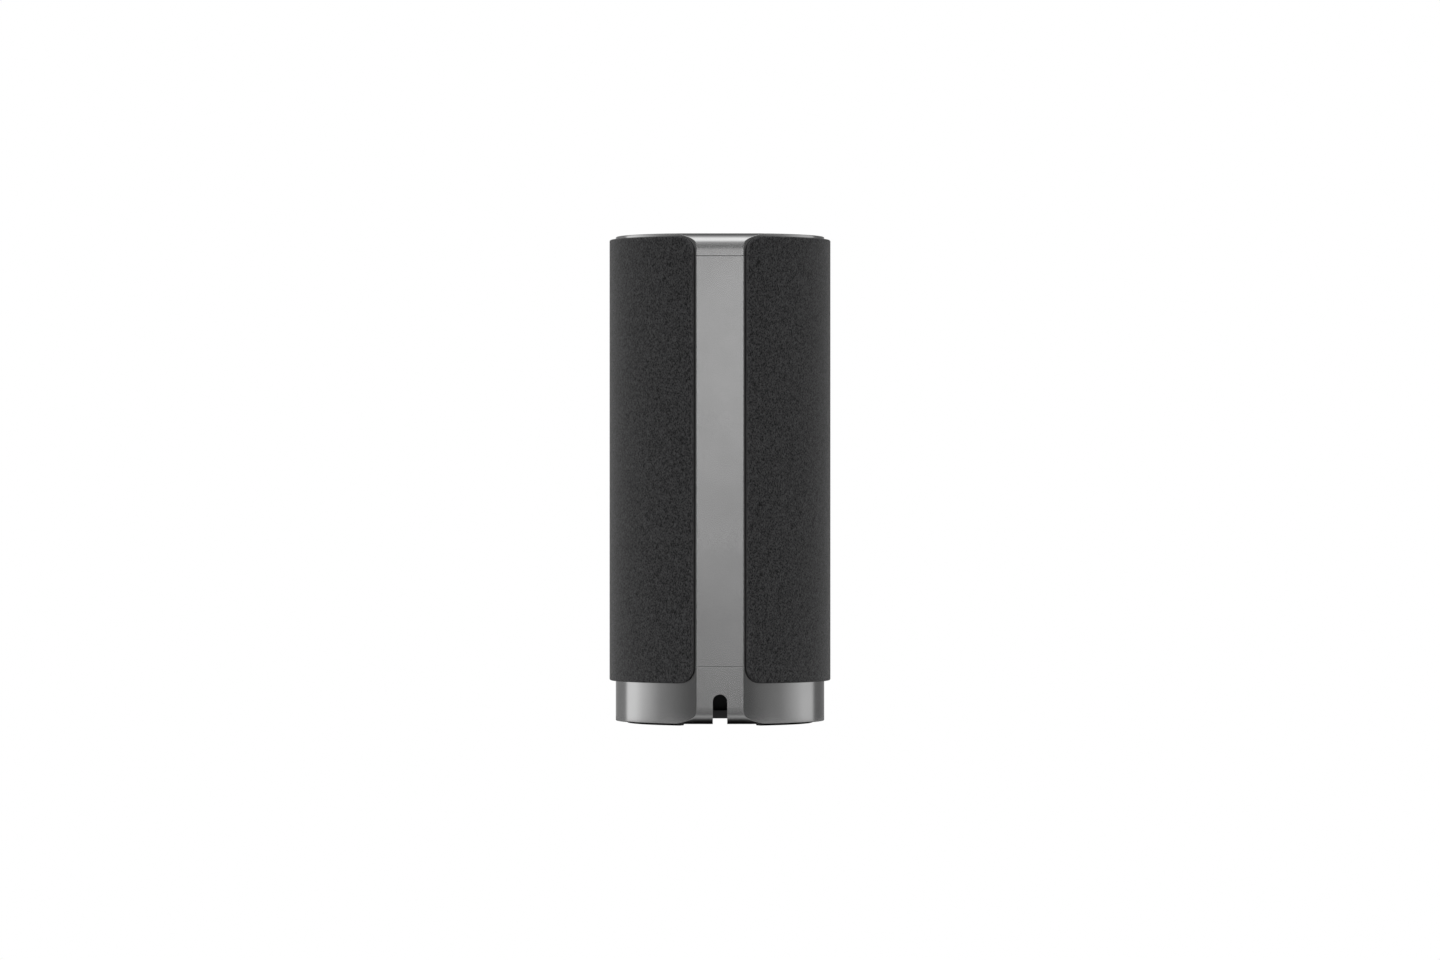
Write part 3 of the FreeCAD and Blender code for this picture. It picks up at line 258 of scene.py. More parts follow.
page = floor_sheet("white_floor", 12, -0.0004)
table = floor_sheet("table", 0.16, -0.0002)
for sheet, finish in ((page, "lit_paper"), (table, "matt_table")):
    paper = bpy.data.materials.new(finish)
    paper.use_nodes = True
    tree = paper.node_tree
    tree.nodes.clear()
    if sheet is page:
        surface = add(tree, "ShaderNodeEmission", Color=(1, 1, 1, 1), Strength=1.0)
    else:
        x, y, z = add(tree, "ShaderNodeSeparateXYZ", _0=add(tree, "ShaderNodeTexCoord").outputs["Object"]).outputs
        radius = maths(tree, "SQRT", maths(tree, "MULTIPLY_ADD", x, x, maths(tree, "MULTIPLY", y, y)))
        beyond = maths(tree, "MAXIMUM", maths(tree, "SUBTRACT", radius, CORE_R / 1000),
                       maths(tree, "SUBTRACT", maths(tree, "MULTIPLY", y, -1.0), FLAT / 1000))
        # Painted contact shade: the table's colour darkens towards the speaker's outline.
        shade = ramp(tree, maths(tree, "MULTIPLY_ADD", beyond, 50.0, 0.5), PAINTED_CONTACT_SHADE)
        # Painted glow: faint emission under the middle of the speaker that lights its underside.
        painted_glow = ramp(tree, maths(tree, "MULTIPLY_ADD", beyond, 20.0, 0.5), [(0.1, 0.33), (0.3, 0.0)])
        surface = add(tree, "ShaderNodeAddShader", _0=add(tree, "ShaderNodeBsdfDiffuse", Color=shade).outputs[0],
                      _1=add(tree, "ShaderNodeEmission", Color=painted_glow, Strength=1.0).outputs[0])
    add(tree, "ShaderNodeOutputMaterial", Surface=one_sided(tree, surface.outputs[0]))
    sheet.data.materials.append(paper)
for light in ("diffuse", "glossy", "transmission", "shadow", "volume_scatter"):
    setattr(page, "visible_" + light, False)
table.visible_camera = False
print("floors:", page.name, table.name)


# %% [markdown]
# ## Surfaces from formulas
# Every new piece is a grid of points: rows along one parameter, columns along the other. Spinning and lofting
# by hand would do the same, but a formula keeps edges where the engineering model has them.

# %% Mesh from a grid of points
def finished(name, mesh, material, body="housing"):
    """Object for a mesh, with outward faces and smooth shading, riding on a body unless that is None."""
    shape = bmesh.new()
    shape.from_mesh(mesh)
    bmesh.ops.remove_doubles(shape, verts=shape.verts, dist=1e-7)
    bmesh.ops.recalc_face_normals(shape, faces=shape.faces)
    shape.to_mesh(mesh)
    shape.free()
    mesh.shade_smooth()
    piece = bpy.data.objects.new(name, mesh)
    bpy.context.scene.collection.objects.link(piece)
    for finish in material if isinstance(material, list) else [material]:
        mesh.materials.append(finish)
    if body:
        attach(piece, body)
    print(f"{name}: {len(mesh.polygons)} faces")
    return piece


def grid_faces(rows, columns, close_rows, close_columns):
    """Quads between neighbouring rows and columns, with the last joined to the first where closed."""
    i = np.arange(rows if close_rows else rows - 1)[:, None]
    j = np.arange(columns if close_columns else columns - 1)[None, :]
    below, right = (i + 1) % rows, (j + 1) % columns
    corners = (i * columns + j, i * columns + right, below * columns + right, below * columns + j)
    return np.stack([np.broadcast_to(c, (i.size, j.size)) for c in corners], -1).reshape(-1, 4)


def grid_mesh(name, points, close_rows=False, close_columns=False, end_caps=False):
    """Mesh of a rows by columns grid of points in millimetres. End caps fill the first and last columns."""
    rows, columns = points.shape[:2]
    faces = grid_faces(rows, columns, close_rows, close_columns).tolist()
    if end_caps:
        faces += [[k * columns for k in range(rows)], [k * columns + columns - 1 for k in range(rows)]]
    mesh = bpy.data.meshes.new(name)
    mesh.from_pydata((points.reshape(-1, 3) / 1000).tolist(), [], faces)
    return mesh


# %% Rounded profiles
def rounded(corners, steps=5):
    """Closed outline from (a, b, radius) corners: each corner with a radius becomes an arc that touches both
    of its sides, and a corner with none stays a point."""
    points = []
    for k, (a, b, radius) in enumerate(corners):
        here = np.array((a, b), float)
        if radius == 0:
            points.append(here)
            continue
        before = np.array(corners[k - 1][:2], float) - here
        after = np.array(corners[(k + 1) % len(corners)][:2], float) - here
        before, after = before / np.linalg.norm(before), after / np.linalg.norm(after)
        half = math.acos(np.clip(before @ after, -1, 1)) / 2
        middle = before + after
        centre = here + middle / np.linalg.norm(middle) * radius / math.sin(half)
        start, end = here + before * radius / math.tan(half), here + after * radius / math.tan(half)
        for t in np.linspace(0, 1, steps):
            way = (start * (1 - t) + end * t) - centre
            points.append(centre + way / np.linalg.norm(way) * radius)
    return np.array(points)


def turned(name, profile, columns=96, centre=(0.0, 0.0), close=True):
    """Surface of a (radius, height) profile turned about an upright line: x = r cos t, y = r sin t."""
    t = np.linspace(0, 2 * math.pi, columns, endpoint=False)[None, :]
    r, z = profile[:, 0][:, None], profile[:, 1][:, None]
    points = np.stack(np.broadcast_arrays(centre[0] + r * np.cos(t), centre[1] + r * np.sin(t), z), -1)
    return grid_mesh(name, points, close_rows=close, close_columns=True)


# %% [markdown]
# ## Metal skin
# Cap, strip and base ring are one drum with a flat planed down its back. The flat leans in a little and then
# rolls over into the top and the bottom, so the boundary between flat and round widens into a flare. That
# boundary isn't a knife edge on a blasted part, so the radius is a soft minimum of the drum and the flat.

# %% The drum with its flat
def rolled(inset, last=math.pi / 2):
    """Distance of the flat from the axis, and depth below the end plane, along the lead-in arc (radius
    LEAD_R, LEAD_TURN long) and the tight arc (ROLL_R, on to the angle `last`), moved inwards by inset."""
    lead = np.linspace(0, LEAD_TURN, 7)[:-1]
    tight = np.linspace(LEAD_TURN, last, 30)
    lead_f = FLAT - LEAD_R
    roll_f = lead_f + (LEAD_R - ROLL_R) * math.cos(LEAD_TURN)
    lead_d = ROLL_R + (LEAD_R - ROLL_R) * math.sin(LEAD_TURN)
    f = np.concatenate([lead_f + (LEAD_R - inset) * np.cos(lead), roll_f + (ROLL_R - inset) * np.cos(tight)])
    d = np.concatenate([lead_d - (LEAD_R - inset) * np.sin(lead), ROLL_R - (ROLL_R - inset) * np.sin(tight)])
    return f, d


def round_radius(depth, inset=0.0):
    """Radius of the round side at a depth below the end plane: the rim is a quarter circle of RIM_ROUND."""
    short = np.clip(RIM_ROUND - depth, 0, RIM_ROUND)
    return CORE_R - inset - (RIM_ROUND - np.sqrt(RIM_ROUND**2 - short**2))


HALF_FLAT = np.array([0.0, 0.42, 0.54, 0.66, 0.78, 0.89])
NEAR_EDGE = np.linspace(-1, 1, 11)


def half_turn(edge, end, count):
    """Angles from the middle of the back to `end`: few over the flat, eleven across the soft edge, which is
    0.9 mm to each side of `edge`, and then even ones."""
    band = 0.9 / CORE_R
    start = edge[:, None] - band
    past = edge[:, None] + band
    return np.concatenate([start * HALF_FLAT, edge[:, None] + band * NEAR_EDGE,
                           past + (end - past) * np.linspace(0, 1, count + 1)[1:]], 1)


def drum(z, f, r, end=math.pi, count=80):
    """Grid of points on the skin. Row k is at height z, on a flat at distance f and a circle of radius r. With
    t from the middle of the back, the radius is the soft minimum of r and f / cos t."""
    cut = f < r - 0.3
    edge = np.where(cut, np.arccos(np.minimum(f / r, 0.9999)), 0.0)
    known = np.flatnonzero(cut)
    edge = np.where(cut, edge, edge[known[np.abs(np.arange(len(f))[:, None] - known).argmin(1)]])
    right = half_turn(edge, end, count)
    closed = end == math.pi
    left = -right[:, ::-1]
    t = np.concatenate([right, left[:, 1:-1]], 1) if closed else np.concatenate([left[:, :-1], right], 1)
    flat = np.where(np.cos(t) > 0.05, f[:, None] / np.maximum(np.cos(t), 0.05), 1e3)
    soft = 14 / np.maximum(np.tan(edge), 0.15)[:, None]
    away = np.abs(flat - r[:, None])
    radius = np.minimum(flat, r[:, None]) - np.log1p(np.exp(-soft * away)) / soft
    return np.stack([radius * np.sin(t), -radius * np.cos(t), np.broadcast_to(z[:, None], t.shape)], -1)


def edge_rows(z, way):
    """Rows round a seam's outer edge: a quarter circle of EDGE_ROUND that starts on the seam's face at z and
    ends on the wall, `way` being 1 where the part lies above its seam and -1 where it lies below. One more row
    0.04 mm along the wall keeps the arc's shading off the flat."""
    a = np.linspace(0, math.pi / 2, 5)
    inset = np.append(EDGE_ROUND * (1 - np.sin(a)), 0.0)
    rise = np.append(EDGE_ROUND * (1 - np.cos(a)), EDGE_ROUND + 0.04)
    return z + way * rise, FLAT - inset, CORE_R - inset


# %% Anodised aluminium
# Space-grey anodising over fine bead blasting. The grey is the metal's own reflection, the roughness of about
# a fifth blurs a soft box into a band, and the blast marks, really 0.1 mm, are drawn at 0.4 mm.
def anodised_aluminium():
    material = bpy.data.materials.new("anodised_aluminium")
    material.use_nodes = True
    tree = material.node_tree
    shader = tree.nodes["Principled BSDF"]
    place = add(tree, "ShaderNodeTexCoord").outputs["Object"]
    blast = add(tree, "ShaderNodeTexNoise", Vector=place, Scale=2500.0, Detail=2.0)
    cloudy = add(tree, "ShaderNodeTexNoise", Vector=place, Scale=45.0, Detail=3.0)
    tree.links.new(ramp(tree, cloudy.outputs[0], [(0.3, linear("#dcdcdc")), (0.7, linear("#e4e4e4"))]),
                   shader.inputs["Base Color"])
    rough = add(tree, "ShaderNodeMapRange", Value=blast.outputs[0], _3=0.165, _4=0.185)
    tree.links.new(rough.outputs[0], shader.inputs["Roughness"])
    bump = add(tree, "ShaderNodeBump", Height=blast.outputs[0], Strength=0.04, Distance=0.00004)
    tree.links.new(bump.outputs[0], shader.inputs["Normal"])
    shader.inputs["Metallic"].default_value = 1.0
    return material


METAL = anodised_aluminium()

# %% Top cap
f_out, d_out = rolled(0.0)
f_in, d_in = rolled(WALL)
inner = d_in >= TOP_FLANGE
edge_z, edge_f, edge_r = edge_rows(CAP_LOW, 1)
a = np.linspace(0, math.pi / 2, 5)
cap_z = np.concatenate([
    edge_z, [CAP_LOW + 1.0], CAP_HIGH - d_out, [CAP_HIGH],
    CAP_HIGH - EDGE_ROUND * (1 - np.cos(a)), [CAP_HIGH - TOP_FLANGE], [CAP_HIGH - TOP_FLANGE],
    (CAP_HIGH - d_in[inner])[::-1], [CAP_LOW]])
cap_f = np.concatenate([
    edge_f, [FLAT], f_out, [f_out[-1] - 0.25], np.full(5, CORE_R), [CORE_R],
    [f_in[inner][-1]], f_in[inner][::-1], [FLAT - WALL]])
cap_r = np.concatenate([
    edge_r, [CORE_R], round_radius(d_out), [CORE_R - RIM_ROUND - 0.25],
    TOP_OPENING + EDGE_ROUND * (1 - np.sin(a)), [TOP_OPENING], [CORE_R - WALL],
    np.full(inner.sum(), CORE_R - WALL), [CORE_R - WALL]])
cap = finished("cap_skin", grid_mesh("cap_skin", drum(cap_z, cap_f, cap_r), True, True), METAL)
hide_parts("top_cap")

# %% Spine strip
side = math.asin(SPINE_SIDE / CORE_R)
low_z, low_f, low_r = edge_rows(SPINE_LOW, 1)
high_z, high_f, high_r = edge_rows(SPINE_HIGH, -1)
steady = np.linspace(SPINE_LOW + 2, SPINE_HIGH - 2, 12)
strip_z = np.concatenate([low_z, steady, high_z[::-1], [SPINE_HIGH, SPINE_LOW]])
strip_f = np.concatenate([low_f, np.full(12, FLAT), high_f[::-1], [FLAT - WALL] * 2])
strip_r = np.concatenate([low_r, np.full(12, CORE_R), high_r[::-1], [CORE_R - WALL] * 2])
strip = finished("spine_skin", grid_mesh("spine_skin", drum(strip_z, strip_f, strip_r, side, 6), True, False, True),
                 METAL)
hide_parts("rear_spine")

# %% [markdown]
# The base ring is the same skin upside down, with a lip turned in under it and an arched slot for the lead.
# The slot is cut from the finished ring, as a mill would cut it, and its edge is broken by a small bevel.

# %% Base ring
meets_lip = math.acos((FLAT - BASE_LIP - (FLAT - LEAD_R + (LEAD_R - ROLL_R) * math.cos(LEAD_TURN))) / ROLL_R)
f_out, d_out = rolled(0.0, meets_lip)
inner = d_in >= BASE_LIP_T
edge_z, edge_f, edge_r = edge_rows(RING_HIGH, -1)
lip_f, lip_r = FLAT - BASE_LIP, CORE_R - BASE_LIP
ring_z = np.concatenate([
    edge_z, [RING_HIGH - 1.0], RING_LOW + d_out, [RING_LOW, RING_LOW, RING_LOW + 0.15],
    [RING_LOW + BASE_LIP_T] * 2, (RING_LOW + d_in[inner])[::-1], [RING_HIGH]])
ring_f = np.concatenate([
    edge_f, [FLAT], f_out, [lip_f, lip_f, lip_f - 0.05], [lip_f - 0.05], [f_in[inner][-1]], f_in[inner][::-1],
    [FLAT - WALL]])
ring_r = np.concatenate([
    edge_r, [CORE_R], round_radius(d_out), [CORE_R - RIM_ROUND - 0.2, lip_r + 0.15, lip_r],
    [lip_r, CORE_R - WALL], np.full(inner.sum(), CORE_R - WALL), [CORE_R - WALL]])
ring_mesh = grid_mesh("ring_skin", drum(ring_z, ring_f, ring_r), True, True)


def arch_prism(half_width, top, y_low, y_high):
    """Prism along Y whose section is an arch: straight sides and a half circle on top, open below."""
    a = np.linspace(0, math.pi, 33)
    x = np.concatenate([[half_width], half_width * np.cos(a), [-half_width]])
    z = np.concatenate([[-5.0], top - half_width + half_width * np.sin(a), [-5.0]])
    points = np.stack([np.stack([x, np.full_like(x, y), z], -1) for y in (y_low, y_high)], 1)
    mesh = grid_mesh("slot_cutter", points, close_rows=True, end_caps=True)
    return mesh


ring = finished("ring_skin", ring_mesh, METAL)
cutter = finished("slot_cutter", arch_prism(SLOT_WIDTH / 2, SLOT_TOP, -CORE_R - 4, -FLAT + BASE_LIP + 2), METAL)
cut = ring.modifiers.new("slot", "BOOLEAN")
cut.object, cut.operation, cut.solver = cutter, "DIFFERENCE", "EXACT"
broken_edge = ring.modifiers.new("broken edge", "BEVEL")
broken_edge.width, broken_edge.segments = 0.00015, 3
broken_edge.limit_method, broken_edge.angle_limit = "ANGLE", math.radians(50)
true_normals = ring.modifiers.new("true normals", "WEIGHTED_NORMAL")
true_normals.mode, true_normals.keep_sharp = "FACE_AREA", True
bpy.context.view_layer.update()
made = bpy.data.meshes.new_from_object(ring.evaluated_get(bpy.context.evaluated_depsgraph_get()))
ring.modifiers.clear()
ring.data = made
bpy.data.objects.remove(cutter)
print("ring with its slot:", len(made.polygons), "faces")
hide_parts("base_ring")

# %% [markdown]
# ## Moulded and turned finishes
# The pieces behind the skin keep the engineering shapes. Each gets the surface of its own making: sparked
# plastic from an eroded mould, rubber with a skin, machined steel, pressed paper. One builder lays fine grain
# over a slow change of shade, and each finish has its own numbers.

# %% Grained finishes
def grained(name, dark, pale, grain_mm, depth_mm, roughness, metallic=0.0, coat=0.0, edge_mm=0.15):
    """Finish whose shade drifts between dark and pale over centimetres, with a bumpy grain of grain_mm. The
    edges of an engineering mesh are rounded in the shading by edge_mm."""
    material = bpy.data.materials.new(name)
    material.use_nodes = True
    tree = material.node_tree
    shader = tree.nodes["Principled BSDF"]
    place = add(tree, "ShaderNodeTexCoord").outputs["Object"]
    drift = add(tree, "ShaderNodeTexNoise", Vector=place, Scale=60.0, Detail=4.0)
    grain = add(tree, "ShaderNodeTexNoise", Vector=place, Scale=1000 / grain_mm, Detail=2.0)
    mixed = maths(tree, "ADD", maths(tree, "MULTIPLY", drift.outputs[0], 0.6),
                  maths(tree, "MULTIPLY", grain.outputs[0], 0.4))
    tree.links.new(ramp(tree, mixed, [(0.35, linear(dark)), (0.65, linear(pale))]), shader.inputs["Base Color"])
    rough = add(tree, "ShaderNodeMapRange", Value=grain.outputs[0], _1=0.3, _2=0.7, _3=roughness - 0.06,
                _4=roughness + 0.06)
    tree.links.new(rough.outputs[0], shader.inputs["Roughness"])
    soft_edge = add(tree, "ShaderNodeBevel", {"samples": 4}, Radius=edge_mm / 1000)
    bump = add(tree, "ShaderNodeBump", Height=grain.outputs[0], Strength=0.5, Distance=depth_mm / 1000,
               Normal=soft_edge.outputs[0])
    tree.links.new(bump.outputs[0], shader.inputs["Normal"])
    shader.inputs["Metallic"].default_value = metallic
    shader.inputs["Coat Weight"].default_value = coat
    return material


FINISHES = {
    # Plastic straight from a sparked mould: a matt black that greys slightly at its edges.
    "abs_black": grained("sparked_abs", "#161617", "#202022", 0.35, 0.02, 0.55),
    # Rubber: deeper black, duller, with a skin that shows lighter where it is dusty.
    "rubber_black": grained("moulded_rubber", "#161616", "#262627", 0.6, 0.03, 0.8),
    "control_plate": grained("satin_control_plate", "#19191b", "#1f1f21", 0.25, 0.006, 0.38),
    "button_plastic": grained("satin_button", "#242427", "#2b2b2e", 0.25, 0.006, 0.34),
    "light_guide": grained("frosted_light_guide", "#d3d4d2", "#dcddda", 0.3, 0.01, 0.35),
    "black_component": grained("epoxy_case", "#1a1a1b", "#242425", 0.2, 0.01, 0.6),
    "tinned_shield": grained("tinned_steel", "#a9a9a6", "#bdbdb9", 0.5, 0.01, 0.35, 1.0),
    "screw_steel": grained("zinc_plated_screw", "#8f9093", "#a6a7aa", 0.3, 0.01, 0.32, 1.0),
    "heatsink_aluminium": grained("sawn_aluminium", "#a8aaac", "#bcbec0", 0.4, 0.02, 0.4, 1.0),
    "driver_steel": grained("pressed_steel", "#56585b", "#6a6c6f", 0.5, 0.02, 0.42, 1.0),
    "ferrite": grained("ferrite_magnet", "#1f1f20", "#303031", 0.8, 0.05, 0.7),
    "cone_paper": grained("pressed_paper", "#232322", "#343331", 1.2, 0.08, 0.85),
    "coil_copper": grained("enamelled_copper", "#9a5430", "#b5683d", 0.3, 0.02, 0.35, 1.0),
    "spider_cloth": grained("resin_cloth", "#a07838", "#b98e48", 0.8, 0.08, 0.8),
    "silk_dome": grained("coated_silk", "#1c1c1e", "#2c2c2e", 0.5, 0.03, 0.5),
    "radiator_plate": grained("painted_plate", "#2a2b2d", "#343537", 0.5, 0.02, 0.45),
    "foam_grey": grained("open_foam", "#3f4042", "#5a5b5d", 1.5, 0.5, 0.95),
    "led_white": grained("led_lens", "#e6e2c6", "#f2eedb", 0.4, 0.01, 0.3),
    "jack_brass": grained("nickel_brass", "#b59a5c", "#c8ad6c", 0.3, 0.01, 0.25, 1.0),
    "ribbon_film": grained("polyimide_film", "#8f5a1c", "#a96d26", 0.5, 0.01, 0.3),
    "seal_foam": grained("seal_foam", "#1e1e1f", "#2c2c2d", 0.8, 0.2, 0.95),
    "circuit_board": grained("solder_mask", "#0c3a24", "#12482e", 0.8, 0.02, 0.35, 0.0, 0.3),
}
# The cover underneath is a coarser plastic, painted paler than the rest as a stand-in for light, so its lip shows in
# the slot.
COVER_PLASTIC_PAINTED_PALE = grained("cover_plastic_painted_pale", "#454547", "#4f4f51", 0.5, 0.03, 0.6)
print(len(FINISHES), "finishes")

# %% [markdown]
# ## Feet
# Two curved rubber feet follow the base ring. Each is a rounded section swept round the axis, and its ends
# shrink over the last half millimetre, so they are soft all round as moulded rubber is.

# %% Feet
FOOT_WIDTH = 6.0
FOOT_TAPER = 1.3
FOOT_SPAN = (math.radians(25), math.radians(168))
foot_low, foot_high = box_mm("left_foot")
foot_r, foot_top = float(-foot_low[0]), float(foot_high[2])
section = rounded([(foot_r - FOOT_WIDTH, 0, 0.5), (foot_r - FOOT_TAPER, 0, 0.6), (foot_r, foot_top, 0.15),
                   (foot_r - FOOT_WIDTH, foot_top, 0.15)], 6)
core = section.mean(0)
soften = np.linspace(0, math.pi / 2, 5)
shrink = 0.4 * np.concatenate([1 - np.sin(soften), np.zeros(86), (1 - np.sin(soften))[::-1]])
sweep = np.concatenate([0.6 / foot_r * (1 - np.cos(soften)), np.linspace(0.02, FOOT_SPAN[1] - FOOT_SPAN[0] - 0.02, 86),
                        FOOT_SPAN[1] - FOOT_SPAN[0] - 0.6 / foot_r * (1 - np.cos(soften))[::-1]]) + FOOT_SPAN[0]


def foot(side):
    """Grid of points on a foot. The section, drawn in radius and height, is pulled towards its own middle by
    `shrink` and turned to the azimuth `sweep`, measured from the back: x = r sin t, y = -r cos t."""
    pulled = core + (section[:, None] - core) * (1 - shrink)[None, :, None]
    r, z = pulled[..., 0], pulled[..., 1]
    return np.stack([side * r * np.sin(sweep), -r * np.cos(sweep), z], -1)


for way, node in ((-1, "left_foot"), (1, "right_foot")):
    shape = grid_mesh(node + "_skin", foot(way), True, False, True)
    pad = finished(node + "_skin", shape, FINISHES["rubber_black"])
    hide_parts(node)

# %% [markdown]
# ## Rubber surrounds
# The woofer's cone and the two radiator plates move in and out on half rolls of rubber. A rigid roll would be
# run through by the plate.

# %% Points across a ring
def bend_across(piece, share):
    """Lays a ring's points out along X at each point's share, from 0 at the inner lip to 1 at the outer, bakes the
    object's transform, and then puts the points back."""
    place = np.empty(len(share) * 3)
    piece.data.vertices.foreach_get("co", place)
    piece.data.vertices.foreach_set("co", np.stack([share, 0 * share, 0 * share], -1).ravel())
    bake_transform(piece)
    piece.data.vertices.foreach_set("co", place)
    piece.data.update()


def points_of(piece):
    """The piece's points in millimetres."""
    place = np.empty(len(piece.data.vertices) * 3)
    piece.data.vertices.foreach_get("co", place)
    return place.reshape(-1, 3) * 1000


def half_roll(lip_in, half, lip_out, skin, rise, seat=0.0):
    """Closed section of a roll, as (place across, height): flat lips and, between them, a half ellipse that
    is `half` to each side of 0 and `rise` above the lips, with the same ellipse one skin smaller below it.
    The outer lip reaches `seat` further down, onto what it is glued to."""
    t = np.linspace(math.pi, 0, 17)
    outer = np.stack([half * np.cos(t), skin + rise * np.sin(t)], -1)
    under = np.stack([(half - skin) * np.cos(t[::-1]), rise * np.sin(t[::-1])], -1)
    return np.concatenate([[(-half - lip_in, skin)], outer, [(half + lip_out, skin), (half + lip_out, -seat),
                           (half - skin, -seat)], under, [(-half - lip_in, 0)]])


# %% Woofer's surround
ROLL_SKIN = 0.5
low, high = box_mm("woofer_surround")
roll = high[1] - low[1] - 2 * ROLL_SKIN
lip_r = high[0] - roll - 1.1
section = half_roll(1.2, roll, 1.1, ROLL_SKIN, roll, ROLL_SKIN)
t = np.linspace(0, 2 * math.pi, 120, endpoint=False)[None]
r, y = lip_r + section[:, :1], low[1] + ROLL_SKIN + section[:, 1:]
z_middle = (low[2] + high[2]) / 2
ring_points = np.stack(np.broadcast_arrays(r * np.cos(t), y, z_middle + r * np.sin(t)), -1)
surround = finished("woofer_roll", grid_mesh("woofer_roll", ring_points, True, True), FINISHES["rubber_black"], None)
co = points_of(surround)
bend_across(surround, (np.hypot(co[:, 0], co[:, 2] - z_middle) - lip_r + roll) / (2 * roll))
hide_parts("woofer_surround")

# %% Radiators' surrounds
PLATE_SKIN = 0.8
PLATE_RISE = 2.0
PLATE_ROLL = 2.5
PLATE_LIPS = (1.5, 2.0)
for side, name in ((-1, "left_radiator"), (1, "right_radiator")):
    low, high = box_mm(name + "_surround")
    middle_z, straight = (low[2] + high[2]) / 2, (high[2] - low[2] - high[1] + low[1]) / 2
    base = high[1] - PLATE_LIPS[1] - PLATE_ROLL
    section = half_roll(PLATE_LIPS[0], PLATE_ROLL, PLATE_LIPS[1], PLATE_SKIN, PLATE_RISE)
    turn = np.concatenate([np.linspace(0, math.pi, 41), np.linspace(math.pi, 2 * math.pi, 41)])[None]
    end = np.repeat([straight, -straight], 41)[None]
    r = base + section[:, :1]
    x = side * (min(abs(low[0]), abs(high[0])) + section[:, 1:])
    around = np.stack(np.broadcast_arrays(x, r * np.cos(turn), middle_z + end + r * np.sin(turn)), -1)
    surround = finished(name + "_roll", grid_mesh(name + "_roll", around, True, True), FINISHES["rubber_black"], None)
    co = points_of(surround)
    past_end = np.maximum(np.abs(co[:, 2] - middle_z) - straight, 0)
    bend_across(surround, (np.hypot(co[:, 1], past_end) - base + PLATE_ROLL) / (2 * PLATE_ROLL))
    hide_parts(name + "_surround")

# %% [markdown]
# ## Buttons
# Four round buttons stand a little above the dished plate. Each is turned from one profile: a shallow dish
# for the fingertip, a rounded edge, and the flange and stem that the plate and the switch need below.

# %% Marks on the buttons
def within(tree, value, half):
    """1 where a length lies within half a width of zero, with an edge 0.04 mm soft."""
    edge = add(tree, "ShaderNodeMapRange", Value=maths(tree, "ABSOLUTE", value), _1=half + 0.02, _2=half - 0.02)
    return edge.outputs[0]


# Satin plastic with a pale pad-printed mark: a plus, a minus, a dot or a ring.
def marked_plastic(mark, centre):
    material = grained("button_" + mark, "#2e2e31", "#363639", 0.25, 0.006, 0.34)
    tree = material.node_tree
    shader = tree.nodes["Principled BSDF"]
    place = add(tree, "ShaderNodeVectorMath", {"operation": "MULTIPLY_ADD"}, _1=(1000, 1000, 1000),
                _0=add(tree, "ShaderNodeTexCoord").outputs["Object"], _2=(-centre[0], -centre[1], 0)).outputs[0]
    x, y, z = add(tree, "ShaderNodeSeparateXYZ", _0=place).outputs
    from_middle = maths(tree, "SQRT", maths(tree, "MULTIPLY_ADD", x, x, maths(tree, "MULTIPLY", y, y)))
    level = maths(tree, "MULTIPLY", within(tree, x, 1.7), within(tree, y, 0.22))
    upright = maths(tree, "MULTIPLY", within(tree, x, 0.22), within(tree, y, 1.7))
    masks = {"minus": level, "plus": maths(tree, "MAXIMUM", level, upright), "dot": within(tree, from_middle, 0.7),
             "ring": within(tree, maths(tree, "SUBTRACT", from_middle, 1.4), 0.2)}
    on_top = maths(tree, "GREATER_THAN", z, BUTTON_TOP - 0.5)
    painted = add(tree, "ShaderNodeMix", {"data_type": "RGBA"}, _0=maths(tree, "MULTIPLY", masks[mark], on_top),
                  _6=shader.inputs["Base Color"].links[0].from_socket, _7=linear("#c9c9c6"))
    tree.links.new(painted.outputs[2], shader.inputs["Base Color"])
    return material


# %% Buttons
BUTTON_R = 5.3
BUTTON_LEDGE = 1.1
BUTTON_STEM_R = 1.6
BUTTON_FLANGE_T = 0.9
PLATE_UNDER = float(box_mm("top_plate")[0][2])
BUTTON_TOP = float(box_mm("volume_up_button")[1][2])
BUTTON_STEM_LOW = float(box_mm("volume_up_button")[0][2])
FLANGE_TOP = PLATE_UNDER - 0.1
t = np.linspace(0, 1, 7)
dish = np.stack([(BUTTON_R - 0.6) * t, BUTTON_TOP - 0.35 * (1 - t**2)], -1)
button_profile = np.concatenate([dish[1:-1], rounded([
    (BUTTON_R - 0.6, BUTTON_TOP, 0), (BUTTON_R, BUTTON_TOP, 0.35), (BUTTON_R, FLANGE_TOP, 0),
    (BUTTON_R + BUTTON_LEDGE, FLANGE_TOP, 0.1), (BUTTON_R + BUTTON_LEDGE, FLANGE_TOP - BUTTON_FLANGE_T, 0.1),
    (BUTTON_STEM_R, FLANGE_TOP - BUTTON_FLANGE_T, 0), (BUTTON_STEM_R, BUTTON_STEM_LOW, 0.15)], 6)])
button_profile = np.concatenate([[[0.0, dish[0][1]]], button_profile, [[0.0, BUTTON_STEM_LOW]]])
for name, mark in (("volume_up", "plus"), ("volume_down", "minus"), ("action", "dot"), ("mute", "ring")):
    low, high = box_mm(name + "_button")
    middle = (low + high)[:2] / 2
    cap = finished(name + "_cap", turned(name + "_cap", button_profile, 72, middle, False),
                   marked_plastic(mark, middle), name)
    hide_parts(name + "_button")

